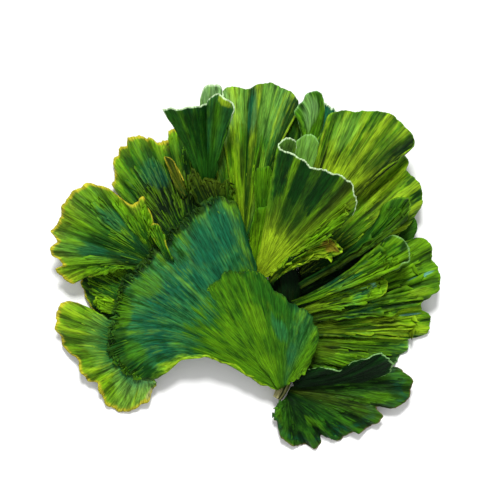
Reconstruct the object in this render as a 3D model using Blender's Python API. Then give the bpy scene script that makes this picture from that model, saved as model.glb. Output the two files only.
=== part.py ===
"""A mermaid's fan: a clump of pleated, ruffled fans that spread from one short stalk.

The clump lies on its back with +Z up. All sizes below are in millimetres. X runs across the clump and
Y away from the stub of the stalk. Every fan is one closed blade: straight or bowed ribs run from its root
curve to its rim curve, and waves, pleats and creases lift it along its own normal, more towards the rim.
"""

import math
from dataclasses import dataclass

import bpy
import numpy as np

MILLIMETRE = 0.001
RIM_THICKNESS = 0.8
ROOT_THICKNESS = 1.3
CURVE_SAMPLES = 241
RESTING_HEIGHT = 0.0
CLUMP_CENTRE = np.array((-2.0, 1.32, 0.0))
WAVE_STRETCH = 0.35
PLEAT_DRIFT = 1.1
WAVE_GROWTH = 2.0
PLEAT_GROWTH = 1.5
CREASE_GROWTH = 1.2
DRIFT_PARTS = ((1.3, 0.5), (2.9, 0.3), (5.3, 0.2))
SLIDE_SHARE = 0.25
NORMAL_REACH = 2.0
LEAST_ROOT_GAP = 0.02
LEAST_RIM_GAP = 0.3
THIN_FROM = 0.4
SHARP_EDGE_DEGREES = 50
BLADE_ROUGHNESS = 0.55


@dataclass
class Fan:
    """One blade. Its curves run clockwise as seen from above, with the ribs from root to rim.

    A rolled blade may overlap itself as seen from above. The ribs of every other blade are kept apart.
    """

    name: str
    root: list
    rim: list
    grid: tuple
    colour: tuple
    bow: tuple = (0.0, 0.0)
    arch: tuple = (0.0, 0.0)
    bend_late: float = 1.0
    waves: tuple = (2.0, 0.0)
    pleats: tuple = (7.0, 0.3)
    teeth: tuple = (9.0, 0.0)
    creases: tuple = ()
    rolled: bool = False
    seed: int = 1


DEEP_GREEN = (0.01, 0.10, 0.02)
MID_GREEN = (0.06, 0.24, 0.02)
LIME_GREEN = (0.17, 0.40, 0.02)
TEAL_GREEN = (0.01, 0.16, 0.10)
OLIVE_GREEN = (0.07, 0.12, 0.01)
PALE_GREEN = (0.30, 0.48, 0.12)
STALK_BEIGE = (0.42, 0.38, 0.20)

FANS = [
    Fan(
        name="main_fan",
        root=[(11.2, -48.0, 8.8), (15.6, -45.6, 9.2)],
        rim=[
            (-38.0, -44.0, 8.0), (-44.4, -43.2, 7.6), (-49.6, -40.4, 7.6), (-53.6, -36.0, 8.0),
            (-56.0, -28.0, 9.0), (-54.8, -21.2, 10.0), (-52.8, -12.0, 11.5), (-50.4, -6.0, 12.5),
            (-44.0, 0.8, 14.2), (-39.2, 8.0, 15.0), (-34.0, 11.2, 15.3), (-31.2, 16.0, 15.8),
            (-26.0, 19.6, 16.8), (-18.0, 26.4, 17.8), (-12.8, 29.6, 18.2), (-8.8, 28.4, 18.4),
            (-5.6, 26.8, 18.2), (-4.0, 23.2, 17.6),
        ],
        grid=(34, 8),
        colour=TEAL_GREEN,
        bow=(11.2, 11.6, 8.8, 3.8, 0.5, 0.0, 0.0, 0.0, 0.0),
        arch=(5.0, 5.0, 4.5, 4.1, 3.6, 3.0),
        bend_late=1.6,
        waves=(3.0, 0.4),
        pleats=(9.0, 0.3),
        seed=3,
    ),
    Fan(
        name="inner_fan",
        root=[(11.4, -47.4, 11.0), (15.2, -45.4, 11.3)],
        rim=[
            (-18.0, -8.8, 19.9), (-14.4, -4.8, 20.4), (-9.6, 0.0, 20.8), (-4.8, -0.4, 21.0),
            (-1.2, -0.4, 21.0), (2.4, 0.4, 20.8), (6.0, -2.8, 20.4), (8.8, -6.4, 20.0),
            (13.6, -10.0, 19.2), (21.2, -16.4, 17.8), (23.6, -17.2, 17.2), (26.4, -22.0, 16.0),
            (26.8, -26.0, 15.0), (25.2, -35.6, 12.8), (22.4, -40.4, 12.0),
        ],
        grid=(30, 6),
        colour=LIME_GREEN,
        arch=(-0.4, 0.0, 1.0, 1.6, 1.2),
        bend_late=1.3,
        waves=(2.0, 0.25),
        pleats=(8.0, 0.15),
        teeth=(9.0, 0.5),
        seed=4,
    ),
    Fan(
        name="lower_left_fan",
        root=[
            (-38.4, -43.6, 5.8), (-43.6, -42.0, 5.4), (-48.4, -39.2, 5.4), (-52.0, -35.2, 5.8),
            (-54.0, -28.0, 6.8), (-53.2, -20.8, 7.8),
        ],
        rim=[
            (-37.6, -46.4, 5.0), (-39.2, -49.8, 3.4), (-42.8, -53.4, 2.0), (-47.0, -56.0, 0.8),
            (-51.8, -56.8, 0.4), (-56.6, -54.8, 1.2), (-59.8, -51.2, 3.0), (-61.0, -45.6, 4.6),
            (-65.6, -44.4, 4.0), (-68.4, -39.2, 5.4), (-69.6, -35.6, 5.0), (-74.0, -32.8, 3.6),
            (-76.4, -28.0, 3.4), (-77.2, -21.2, 5.0), (-76.4, -15.6, 6.0), (-70.8, -12.4, 7.5),
            (-63.6, -16.8, 8.0),
        ],
        grid=(32, 6),
        colour=MID_GREEN,
        arch=(1.0, 1.5, 2.0),
        waves=(3.0, 0.9),
        pleats=(9.0, 0.6),
        teeth=(14.0, 0.8),
        seed=5,
    ),
    Fan(
        name="left_back_fan",
        root=[(-51.6, -21.2, 5.7), (-50.0, -15.0, 7.6), (-45.0, -2.0, 9.5)],
        rim=[
            (-62.4, -18.6, 2.6), (-63.8, -16.0, 2.2), (-65.6, -12.0, 1.6), (-67.2, -8.0, 1.2),
            (-68.0, -3.2, 1.6), (-64.8, 0.8, 3.0), (-60.0, 4.0, 4.5), (-54.0, 5.6, 6.0),
        ],
        grid=(14, 4),
        colour=DEEP_GREEN,
        pleats=(5.0, 0.4),
        teeth=(7.0, 0.5),
        seed=7,
    ),
    Fan(
        name="left_frill",
        root=[(-52.0, -18.0, 9.0), (-48.8, -13.6, 9.9)],
        rim=[
            (-58.4, -16.8, 8.4), (-62.0, -14.0, 7.5), (-62.4, -11.2, 8.0), (-58.8, -11.2, 9.2),
            (-55.6, -12.0, 9.6), (-53.6, -12.8, 9.6),
        ],
        grid=(14, 3),
        colour=LIME_GREEN,
        pleats=(4.0, 0.35),
        teeth=(5.0, 1.1),
        seed=8,
    ),
    Fan(
        name="middle_left_fan",
        root=[(-42.0, 0.0, 11.2), (-36.0, 7.2, 11.8)],
        rim=[
            (-58.0, 0.4, 11.0), (-62.0, -0.8, 10.0), (-66.8, -3.6, 9.0), (-70.8, -5.6, 8.0),
            (-75.2, -2.8, 8.0), (-77.6, 0.4, 8.6), (-74.4, 1.6, 9.5), (-76.0, 4.8, 10.0),
            (-79.6, 6.0, 10.0), (-79.6, 9.2, 10.5), (-77.2, 11.6, 11.5), (-80.4, 15.6, 11.0),
            (-77.2, 18.8, 12.0), (-76.0, 23.2, 13.0), (-72.8, 29.2, 14.0), (-68.4, 32.8, 14.5),
            (-63.2, 34.4, 15.0), (-57.2, 32.0, 15.0), (-52.4, 29.2, 14.8), (-47.2, 26.4, 15.0),
            (-42.4, 29.2, 17.0), (-40.8, 23.2, 16.5), (-39.6, 18.0, 16.0), (-38.0, 13.6, 15.0),
        ],
        grid=(34, 6),
        colour=MID_GREEN,
        bow=(0.0, 3.2, 1.5, 0.5, 0.0, 0.0, 0.0, 0.0, 0.0),
        arch=(3.0, 3.0, 2.5, 0.5),
        waves=(3.0, 0.7),
        pleats=(9.0, 0.7),
        teeth=(15.0, 0.4),
        seed=9,
    ),
    Fan(
        name="small_left_fan",
        root=[(-33.6, 4.8, 18.0), (-30.4, 3.2, 18.4)],
        rim=[
            (-38.0, 12.0, 17.8), (-40.0, 16.8, 18.2), (-38.8, 18.8, 18.6), (-36.8, 18.4, 18.8),
            (-34.4, 12.8, 18.6), (-32.0, 8.0, 18.6),
        ],
        grid=(10, 4),
        colour=LIME_GREEN,
        pleats=(2.0, 0.3),
        seed=10,
    ),
    Fan(
        name="upper_left_fan",
        root=[(-33.2, 9.6, 12.4), (-28.8, 15.2, 12.6), (-23.2, 19.2, 12.8), (-16.4, 24.0, 12.8)],
        rim=[
            (-53.2, 28.0, 4.0), (-54.4, 32.0, 3.0), (-54.4, 36.8, 2.0), (-54.4, 42.8, 1.0),
            (-52.8, 48.4, 0.4), (-50.4, 51.2, 0.4), (-46.4, 53.6, 1.4), (-41.6, 53.6, 3.0),
            (-37.6, 51.2, 4.6), (-34.8, 50.8, 5.0), (-33.2, 51.6, 5.6), (-32.4, 54.4, 6.0),
            (-30.8, 56.8, 6.4), (-27.2, 55.2, 7.0), (-22.0, 52.0, 8.0), (-17.2, 46.0, 9.0),
            (-14.8, 39.2, 9.8), (-13.6, 32.0, 10.4),
        ],
        grid=(30, 6),
        colour=DEEP_GREEN,
        arch=(2.0, 2.0, 0.5),
        waves=(3.0, 0.6),
        pleats=(8.0, 0.65),
        teeth=(16.0, 1.2),
        seed=11,
    ),
    Fan(
        name="yellow_fold",
        root=[(-26.8, 28.4, 13.9), (-24.8, 30.2, 13.9)],
        rim=[
            (-31.2, 36.0, 14.0), (-33.6, 45.6, 12.6), (-31.6, 44.8, 13.0), (-29.2, 41.6, 13.8),
            (-26.8, 36.0, 14.6),
        ],
        grid=(10, 4),
        colour=OLIVE_GREEN,
        pleats=(2.0, 0.3),
        seed=12,
    ),
    Fan(
        name="olive_fan",
        root=[(-19.6, 24.4, 14.8), (-7.2, 24.4, 15.2)],
        rim=[
            (-23.6, 31.2, 16.2), (-22.8, 40.4, 18.5), (-20.8, 38.4, 18.0), (-18.8, 36.0, 17.6),
            (-15.2, 36.8, 18.2), (-12.8, 35.6, 18.0), (-9.6, 36.0, 17.4), (-6.4, 32.0, 16.6),
        ],
        grid=(18, 4),
        colour=OLIVE_GREEN,
        pleats=(6.0, 0.25),
        teeth=(7.0, 1.4),
        seed=13,
    ),
    Fan(
        name="folded_fan",
        root=[(-18.8, 31.2, 14.0), (-14.8, 32.0, 14.2)],
        rim=[
            (-34.8, 64.4, 32.0), (-31.2, 64.4, 34.0), (-27.2, 64.4, 34.5), (-22.0, 65.2, 32.0),
            (-18.8, 66.0, 29.0), (-17.2, 66.8, 27.0), (-15.6, 68.8, 30.0), (-12.0, 69.6, 34.0),
            (-8.8, 67.6, 36.0), (-6.4, 64.8, 35.5), (-6.8, 60.8, 33.0),
        ],
        grid=(22, 6),
        colour=DEEP_GREEN,
        bow=(1.6, 0.0, -1.2),
        arch=(-3.0, -3.0, -3.0),
        waves=(2.0, 0.3),
        pleats=(5.0, 0.4),
        seed=14,
    ),
    Fan(
        name="folded_back_lobe",
        root=[(-17.5, 44.0, 14.2), (-14.8, 44.0, 14.2)],
        rim=[
            (-20.0, 65.6, 19.0), (-19.6, 69.6, 20.0), (-17.6, 73.6, 21.0), (-14.4, 74.4, 21.5),
            (-11.6, 73.6, 21.0), (-10.8, 70.4, 20.0), (-10.0, 64.8, 18.5),
        ],
        grid=(12, 4),
        colour=TEAL_GREEN,
        pleats=(3.0, 0.3),
        seed=15,
    ),
    Fan(
        name="top_fan",
        root=[(-5.6, 10.8, 13.6), (0.0, 12.8, 13.8)],
        rim=[
            (-14.4, 40.8, 13.4), (-12.4, 52.0, 12.6), (-11.2, 64.0, 12.6), (-10.4, 72.0, 13.2),
            (-8.0, 73.2, 14.0), (-4.0, 73.2, 14.5), (0.8, 73.6, 15.0), (4.4, 74.4, 15.0),
            (8.0, 74.8, 14.5), (13.6, 72.4, 13.5), (17.2, 70.0, 12.5), (19.6, 67.6, 11.5),
            (18.4, 63.6, 12.0), (16.0, 59.6, 13.0), (13.6, 55.2, 14.0),
        ],
        grid=(26, 7),
        colour=LIME_GREEN,
        bow=(-1.2, 0.0, 0.0, -1.0, -2.8),
        arch=(-1.5, 1.0, 3.5, 3.5, 1.5),
        bend_late=1.6,
        waves=(2.0, 0.4),
        pleats=(7.0, 0.45),
        creases=((0.52, 0.04, 1.6),),
        seed=16,
    ),
    Fan(
        name="slim_fan",
        root=[(3.6, 9.6, 13.9), (5.2, 9.4, 13.9)],
        rim=[
            (2.4, 32.0, 20.6), (2.0, 38.0, 22.4), (2.8, 40.8, 22.8), (5.2, 40.8, 23.0),
            (7.6, 41.6, 23.0), (8.4, 36.8, 22.4), (7.2, 30.0, 21.0),
        ],
        grid=(10, 4),
        colour=LIME_GREEN,
        pleats=(2.0, 0.2),
        seed=17,
    ),
    Fan(
        name="sliver_fan",
        root=[(6.6, 8.8, 13.7), (8.2, 8.6, 13.7)],
        rim=[
            (8.0, 31.2, 18.0), (8.8, 37.6, 19.0), (10.4, 41.6, 19.4), (12.4, 42.8, 19.4),
            (13.2, 36.0, 18.6), (12.4, 29.6, 17.4),
        ],
        grid=(10, 4),
        colour=MID_GREEN,
        pleats=(2.0, 0.2),
        seed=18,
    ),
    Fan(
        name="strip_fan",
        root=[(11.0, 8.8, 12.9), (12.4, 8.6, 12.9)],
        rim=[
            (7.6, 47.2, 10.2), (10.4, 55.2, 10.2), (15.2, 61.6, 10.2), (19.2, 64.0, 10.2),
            (22.4, 62.4, 10.4), (22.4, 56.0, 10.6), (20.4, 48.8, 10.6),
        ],
        grid=(10, 4),
        colour=MID_GREEN,
        pleats=(2.0, 0.2),
        seed=19,
    ),
    Fan(
        name="rolled_fan",
        root=[(13.6, 7.0, 13.2), (15.0, 6.4, 13.2)],
        rim=[
            (22.8, 56.8, 16.5), (21.6, 60.4, 17.0), (19.6, 61.2, 17.2), (17.6, 62.4, 17.4),
            (19.2, 65.6, 17.4), (21.2, 67.6, 17.2), (22.0, 69.6, 17.0), (23.6, 70.8, 16.8),
            (26.8, 71.6, 16.4), (28.8, 70.4, 16.0), (29.2, 67.2, 15.8), (27.6, 63.2, 15.6),
            (26.4, 58.0, 15.4),
        ],
        grid=(14, 5),
        colour=MID_GREEN,
        bow=(0.0, 5.2, 3.0, 1.5, 1.0),
        bend_late=5.0,
        pleats=(2.0, 0.3),
        seed=20,
    ),
    Fan(
        name="teal_strip",
        root=[(15.2, 6.4, 11.2), (16.8, 5.6, 10.9)],
        rim=[
            (27.2, 58.0, 1.4), (28.0, 64.0, 0.6), (29.6, 67.6, 0.4), (32.4, 66.4, 0.4),
            (35.2, 64.0, 0.4), (34.4, 58.0, 1.2), (30.4, 48.0, 3.0),
        ],
        grid=(12, 4),
        colour=TEAL_GREEN,
        pleats=(2.0, 0.3),
        seed=21,
    ),
    Fan(
        name="cupped_fan",
        root=[(2.4, -0.8, 15.4), (5.8, -3.4, 15.4)],
        rim=[
            (18.4, 48.8, 36.0), (17.6, 51.2, 38.0), (15.2, 52.8, 41.0), (12.8, 52.4, 43.0),
            (11.6, 50.0, 44.5), (12.8, 46.8, 45.5), (16.0, 46.4, 46.0), (18.4, 45.2, 46.5),
            (22.8, 42.8, 47.0), (26.0, 40.8, 47.0), (29.2, 39.6, 46.5), (32.8, 38.4, 46.0),
            (37.2, 36.8, 44.5), (40.4, 34.8, 42.5), (42.0, 30.8, 39.5), (42.4, 25.6, 36.0),
            (40.0, 22.0, 33.0), (36.4, 19.6, 30.5), (34.4, 15.6, 28.6), (30.4, 12.8, 27.0),
            (26.8, 10.4, 26.0), (21.2, 8.4, 24.0),
        ],
        grid=(32, 7),
        colour=DEEP_GREEN,
        waves=(2.0, 0.3),
        pleats=(9.0, 0.6),
        rolled=True,
        seed=22,
    ),
    Fan(
        name="cup_lobe",
        root=[(14.4, 20.0, 29.5), (17.0, 19.0, 28.8)],
        rim=[
            (18.4, 49.6, 31.0), (18.8, 51.6, 31.6), (20.8, 53.2, 32.0), (24.0, 54.4, 32.4),
            (26.4, 52.8, 32.4), (27.2, 49.6, 32.0), (24.8, 46.4, 31.4),
        ],
        grid=(10, 4),
        colour=PALE_GREEN,
        pleats=(2.0, 0.2),
        seed=23,
    ),
    Fan(
        name="cup_flange",
        root=[(-1.2, 3.2, 14.8), (3.2, 0.8, 13.2)],
        rim=[
            (1.2, 15.2, 19.5), (1.6, 20.8, 21.6), (2.4, 24.0, 22.6), (4.8, 25.2, 23.4),
            (8.0, 25.6, 24.2), (10.8, 24.8, 25.0),
        ],
        grid=(12, 4),
        arch=(-1.2, -2.0),
        colour=DEEP_GREEN,
        pleats=(2.0, 0.2),
        seed=24,
    ),
    Fan(
        name="cup_ruffle",
        root=[(7.0, -4.4, 14.8), (9.4, -6.2, 14.3)],
        rim=[
            (28.8, 12.8, 21.0), (33.2, 12.8, 22.0), (36.0, 10.4, 22.0), (37.2, 7.6, 21.6),
            (34.4, 5.6, 21.0), (30.0, 4.8, 20.6), (24.0, 3.6, 20.0), (18.4, 2.0, 19.0),
        ],
        grid=(16, 5),
        colour=LIME_GREEN,
        bow=(-3.2, -3.6),
        waves=(2.0, 0.3),
        pleats=(4.0, 0.35),
        seed=25,
    ),
    Fan(
        name="right_top_fan",
        root=[(15.2, 3.0, 12.4), (17.2, 1.4, 11.8)],
        rim=[
            (29.2, 51.2, 18.6), (30.0, 58.0, 18.8), (31.6, 62.0, 18.4), (35.6, 63.6, 18.0),
            (40.0, 63.6, 17.6), (46.0, 63.6, 17.4), (53.6, 63.2, 17.0), (58.8, 60.4, 16.8),
            (62.8, 56.4, 17.0), (65.6, 52.0, 18.0), (65.2, 49.2, 19.0), (61.2, 46.0, 20.6),
            (56.0, 42.8, 22.0),
        ],
        grid=(26, 6),
        colour=LIME_GREEN,
        bow=(0.0, 0.0, -0.5, -2.0, -3.6),
        arch=(3.0, 5.0, 2.0),
        waves=(2.0, 0.4),
        pleats=(7.0, 0.5),
        seed=26,
    ),
    Fan(
        name="right_upper_fan",
        root=[(19.8, -0.6, 11.6), (20.6, -2.8, 11.4)],
        rim=[
            (56.8, 41.6, 13.0), (59.2, 44.8, 12.6), (61.6, 46.0, 12.0), (63.2, 44.8, 11.4),
            (63.6, 42.8, 11.0), (62.8, 41.2, 10.8), (65.6, 37.6, 10.0), (68.0, 34.4, 9.6),
            (69.2, 31.2, 9.2), (68.8, 26.8, 9.0), (67.6, 23.2, 9.0), (66.0, 20.4, 9.2),
            (62.0, 16.0, 9.6), (56.8, 12.0, 10.0),
        ],
        grid=(22, 5),
        colour=LIME_GREEN,
        bow=(-2.2, 0.0, 0.0),
        arch=(2.0, 3.0, 2.0),
        waves=(2.0, 0.3),
        pleats=(6.0, 0.5),
        seed=27,
    ),
    Fan(
        name="right_folded_fan",
        root=[(19.4, -5.2, 12.2), (20.4, -7.6, 12.1)],
        rim=[
            (52.4, 23.2, 19.6), (54.4, 26.8, 20.4), (58.8, 29.2, 20.4), (62.4, 29.2, 19.0),
            (63.6, 28.0, 17.0), (64.0, 25.2, 18.6), (62.8, 21.6, 20.0), (59.2, 19.2, 20.0),
        ],
        grid=(16, 5),
        colour=DEEP_GREEN,
        bow=(5.0, 3.2, 1.6),
        arch=(1.0, 1.0),
        bend_late=1.3,
        pleats=(2.0, 0.2),
        seed=28,
    ),
    Fan(
        name="right_back_fan",
        root=[(19.6, 0.8, 5.8), (19.3, -6.0, 4.4), (18.8, -12.0, 3.0), (19.0, -17.0, 2.2)],
        rim=[
            (50.0, 27.0, 7.6), (62.0, 24.8, 7.4), (65.2, 22.4, 7.0), (66.8, 19.6, 6.8),
            (67.2, 16.8, 6.6), (66.0, 13.6, 6.6), (63.0, 6.0, 6.4), (60.0, -9.0, 6.0),
        ],
        grid=(16, 4),
        colour=DEEP_GREEN,
        pleats=(5.0, 0.2),
        seed=29,
    ),
    Fan(
        name="right_mid_fan",
        root=[(16.2, -12.4, 10.1), (17.4, -14.8, 9.6)],
        rim=[
            (48.4, 6.4, 21.0), (52.8, 10.8, 22.0), (57.2, 14.0, 22.4), (60.4, 12.8, 22.6),
            (63.2, 10.0, 23.0), (64.0, 6.4, 23.6), (63.2, 2.8, 24.2), (59.2, 1.6, 24.0),
        ],
        grid=(18, 5),
        colour=MID_GREEN,
        bow=(2.4, 2.6, 1.6, 0.6),
        arch=(1.0, 2.0, 2.0),
        pleats=(4.0, 0.35),
        seed=30,
    ),
    Fan(
        name="right_inner_fan",
        root=[(16.8, -16.8, 8.9), (17.4, -18.6, 8.4)],
        rim=[
            (48.0, -4.4, 16.5), (52.0, -3.2, 16.8), (54.8, -4.4, 17.0), (54.8, -7.2, 17.0),
            (53.6, -9.6, 17.0), (48.8, -12.0, 16.4),
        ],
        grid=(12, 4),
        colour=LIME_GREEN,
        arch=(1.0, 1.0),
        pleats=(3.0, 0.3),
        seed=31,
    ),
    Fan(
        name="right_rim_fan",
        root=[(17.3, -19.6, 7.0), (17.5, -22.0, 6.5)],
        rim=[
            (62.0, 10.8, 9.6), (66.4, 13.2, 9.6), (70.4, 12.0, 9.2), (72.8, 9.2, 9.0),
            (73.2, 4.0, 8.8), (75.2, 0.8, 8.4), (76.0, -3.2, 8.0), (75.6, -7.2, 8.0),
            (72.8, -10.0, 8.4), (70.8, -12.0, 8.8), (68.4, -12.8, 9.0), (64.4, -14.0, 9.0),
            (56.0, -16.8, 9.0),
        ],
        grid=(20, 5),
        colour=MID_GREEN,
        arch=(3.0, 4.0, 3.0),
        waves=(2.0, 0.3),
        pleats=(5.0, 0.55),
        seed=32,
    ),
    Fan(
        name="right_low_fan",
        root=[(17.4, -23.4, 5.2), (17.6, -26.4, 5.0)],
        rim=[
            (58.4, -12.0, 5.0), (64.4, -11.6, 4.4), (68.4, -12.8, 4.0), (68.8, -15.6, 3.4),
            (71.6, -18.0, 2.0), (72.0, -20.4, 0.8), (71.2, -24.4, 0.4), (69.2, -26.4, 0.6),
            (65.6, -27.2, 2.0), (61.6, -27.6, 3.0),
        ],
        grid=(16, 5),
        colour=LIME_GREEN,
        arch=(3.0, 4.0, 3.0),
        pleats=(4.0, 0.5),
        seed=33,
    ),
    Fan(
        name="right_last_fan",
        root=[(18.8, -26.8, 3.2), (18.6, -37.4, 4.2)],
        rim=[
            (60.0, -26.4, 0.6), (63.6, -28.4, 0.4), (63.2, -31.6, 0.4), (60.8, -34.4, 0.6),
            (59.6, -36.8, 1.0), (56.8, -38.4, 1.6), (46.0, -40.4, 2.6), (30.0, -43.4, 3.4),
        ],
        grid=(16, 5),
        colour=LIME_GREEN,
        arch=(2.5, 3.5, 2.0),
        pleats=(4.0, 0.5),
        seed=34,
    ),
    Fan(
        name="dark_blade",
        root=[(17.4, -43.6, 7.6), (17.6, -46.4, 7.0)],
        rim=[
            (23.6, -41.2, 10.4), (26.4, -39.0, 14.0), (32.4, -38.8, 17.0), (37.2, -39.6, 16.0),
            (40.0, -39.2, 16.5), (43.2, -36.4, 18.5), (45.6, -34.4, 20.0), (50.0, -33.6, 20.0),
            (54.4, -34.0, 19.0), (56.4, -36.8, 16.5), (57.2, -39.2, 13.5), (55.2, -41.2, 11.0),
        ],
        grid=(22, 5),
        colour=DEEP_GREEN,
        bow=(0.0, 0.0, 1.0, 3.0, 2.5, 1.5),
        arch=(0.0, 1.0),
        waves=(2.0, 0.3),
        pleats=(5.0, 0.3),
        teeth=(12.0, 0.6),
        seed=35,
    ),
    Fan(
        name="bottom_fan",
        root=[(16.6, -46.8, 3.9), (14.1, -51.8, 3.8)],
        rim=[
            (55.2, -38.8, 6.6), (57.6, -38.8, 6.4), (61.6, -40.4, 6.0), (64.4, -43.2, 5.4),
            (65.2, -46.0, 5.0), (63.2, -51.6, 4.4), (59.2, -54.4, 4.0), (55.6, -55.2, 4.0),
            (51.6, -54.8, 4.6), (53.6, -58.4, 3.0), (50.4, -62.0, 2.0), (46.8, -64.0, 1.4),
            (41.2, -64.8, 1.0), (37.6, -67.2, 0.7), (33.6, -68.7, 0.7), (28.8, -67.6, 1.4),
            (29.2, -69.9, 0.5), (26.8, -71.9, 0.4), (23.4, -71.4, 0.5), (18.4, -69.9, 1.0),
            (14.2, -66.8, 1.8), (11.6, -64.0, 2.6), (10.4, -60.6, 3.4), (9.8, -57.6, 3.8),
            (10.0, -54.0, 4.2),
        ],
        grid=(30, 6),
        colour=DEEP_GREEN,
        bow=(-1.6, 0.0, 0.0),
        arch=(2.0, 3.0, 2.5),
        waves=(3.0, 0.4),
        pleats=(8.0, 0.6),
        teeth=(11.0, 0.5),
        seed=36,
    ),
]

STALK_PATH = [
    (10.8, -51.6, 5.0, 1.6, 1.6), (12.0, -49.4, 4.9, 2.4, 2.4), (13.6, -45.2, 4.2, 2.8, 2.8),
    (14.4, -39.0, 3.0, 3.0, 3.0), (14.8, -31.0, 2.3, 3.0, 3.0), (15.0, -23.0, 2.6, 3.0, 3.0),
    (15.2, -17.0, 4.6, 3.4, 3.0), (14.0, -11.0, 6.8, 5.3, 2.8), (13.8, -5.0, 8.4, 6.0, 2.4),
    (12.6, 1.0, 9.8, 5.6, 2.1), (10.6, 5.2, 10.3, 4.0, 1.8), (7.0, 7.6, 10.8, 2.2, 1.7),
    (3.0, 9.2, 11.2, 1.5, 1.5), (-1.6, 10.8, 11.6, 1.2, 1.2),
]
STALK_SIDES = 12
STALK_RINGS = 26
STALK_RIDGES = 4
STALK_RIDGE_HEIGHT = 0.12


def curve_through(points, samples=CURVE_SAMPLES):
    """Sample a smooth curve that passes through the points, evenly by chord length."""
    knots = np.array(points, dtype=float)
    spans = np.linalg.norm(np.diff(knots, axis=0), axis=1)
    places = np.concatenate(([0.0], np.cumsum(spans)))
    slopes = np.gradient(knots, places, axis=0)
    wanted = np.linspace(0.0, places[-1], samples)
    first = np.clip(np.searchsorted(places, wanted, side="right") - 1, 0, len(spans) - 1)
    span = spans[first][:, None]
    share = ((wanted - places[first]) / spans[first])[:, None]
    cubic = share ** 3
    square = share ** 2
    start_part = (2 * cubic - 3 * square + 1) * knots[first]
    start_bend = (cubic - 2 * square + share) * span * slopes[first]
    end_part = (3 * square - 2 * cubic) * knots[first + 1]
    end_bend = (cubic - square) * span * slopes[first + 1]
    return start_part + start_bend + end_part + end_bend


def even_places(root, rim, count):
    """Choose places from 0 to 1 along the curves that space the ribs evenly across the blade."""
    rib = (rim - root)[:, :2]
    rib_direction = rib / np.linalg.norm(rib, axis=1)[:, None]
    move = np.diff(rim, axis=0)
    along = np.abs(np.sum(move[:, :2] * rib_direction[:-1], axis=1))
    length = np.linalg.norm(move, axis=1)
    across = np.sqrt(np.maximum(length ** 2 - along ** 2, 0.0))
    progress = np.concatenate(([0.0], np.cumsum(across + SLIDE_SHARE * along)))
    wanted = np.linspace(0.0, progress[-1], count + 1)
    return np.interp(wanted, progress, np.linspace(0.0, 1.0, len(rim)))


def at_places(samples, places):
    """Read a sampled curve, or a short list of values, at places from 0 to 1."""
    values = np.array(samples, dtype=float)
    stops = np.linspace(0.0, 1.0, len(values))
    if values.ndim == 1:
        return np.interp(places, stops, values)
    return np.stack([np.interp(places, stops, values[:, axis]) for axis in range(3)], axis=1)


def unit(vectors):
    """Scale vectors to a length of 1."""
    return vectors / np.maximum(np.linalg.norm(vectors, axis=-1, keepdims=True), 1e-9)


def grid_normals(points):
    """Normals of a grid of points, that point up on a level blade."""
    across = np.gradient(points, axis=0)
    outward = np.gradient(points, axis=1)
    return unit(np.cross(across, outward))


def steady_normals(points):
    """Normals of a grid of points, evened out with their neighbours so that the blade's faces don't cross."""
    flat = points.reshape(-1, 3)
    gaps = np.linalg.norm(flat[:, None, :] - flat[None, :, :], axis=2)
    weights = np.exp(-((gaps / NORMAL_REACH) ** 2))
    return unit(weights @ grid_normals(points).reshape(-1, 3)).reshape(points.shape)


def keep_apart(points):
    """Move ribs sideways, from the middle rib outwards, so that none crosses the rib beside it."""
    middle = len(points) // 2
    reach = np.linspace(0.0, 1.0, points.shape[1])
    least = LEAST_ROOT_GAP + (LEAST_RIM_GAP - LEAST_ROOT_GAP) * reach
    for step in (-1, 1):
        end = len(points) if step == 1 else -1
        for column in range(middle + step, end, step):
            rib = points[column]
            beside = points[column - step]
            ahead = unit((rib[-1] - rib[0])[:2])
            outward = step * np.array((ahead[1], -ahead[0]))
            limit = np.interp(rib[:, :2] @ ahead, beside[:, :2] @ ahead, beside[:, :2] @ outward) + least
            short = np.maximum(limit - rib[:, :2] @ outward, 0.0)
            rib[:, :2] += short[:, None] * outward
    return points


def drift(places, seed):
    """A smooth irregular value between about -1 and 1, the same for the same seed."""
    phases = np.random.default_rng(seed).uniform(0.0, 2 * math.pi, len(DRIFT_PARTS))
    return sum(
        share * np.sin(2 * math.pi * count * places + phase)
        for (count, share), phase in zip(DRIFT_PARTS, phases)
    )


def bend_shape(reach, lateness):
    """Rise from 0 at the root to 1 and back to 0 at the rim; a higher lateness peaks nearer the rim."""
    peak = lateness / (lateness + 1.0)
    return reach ** lateness * (1.0 - reach) / (peak ** lateness * (1.0 - peak))


def relief(fan, places, reach):
    """Height of the waves, pleats and creases above the plain blade, along its normal."""
    wander = drift(places, fan.seed)
    wave_count, wave_height = fan.waves
    wave = wave_height * np.sin(2 * math.pi * wave_count * places + fan.seed + WAVE_STRETCH * wander)
    pleat_count, pleat_height = fan.pleats
    pleat = pleat_height * np.sin(2 * math.pi * pleat_count * places + 2.0 * fan.seed + PLEAT_DRIFT * wander)
    lift = wave * reach ** WAVE_GROWTH + pleat * reach ** PLEAT_GROWTH
    for place, width, depth in fan.creases:
        lift = lift - depth * np.exp(-((places - place) / width) ** 2) * reach ** CREASE_GROWTH
    return lift


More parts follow.
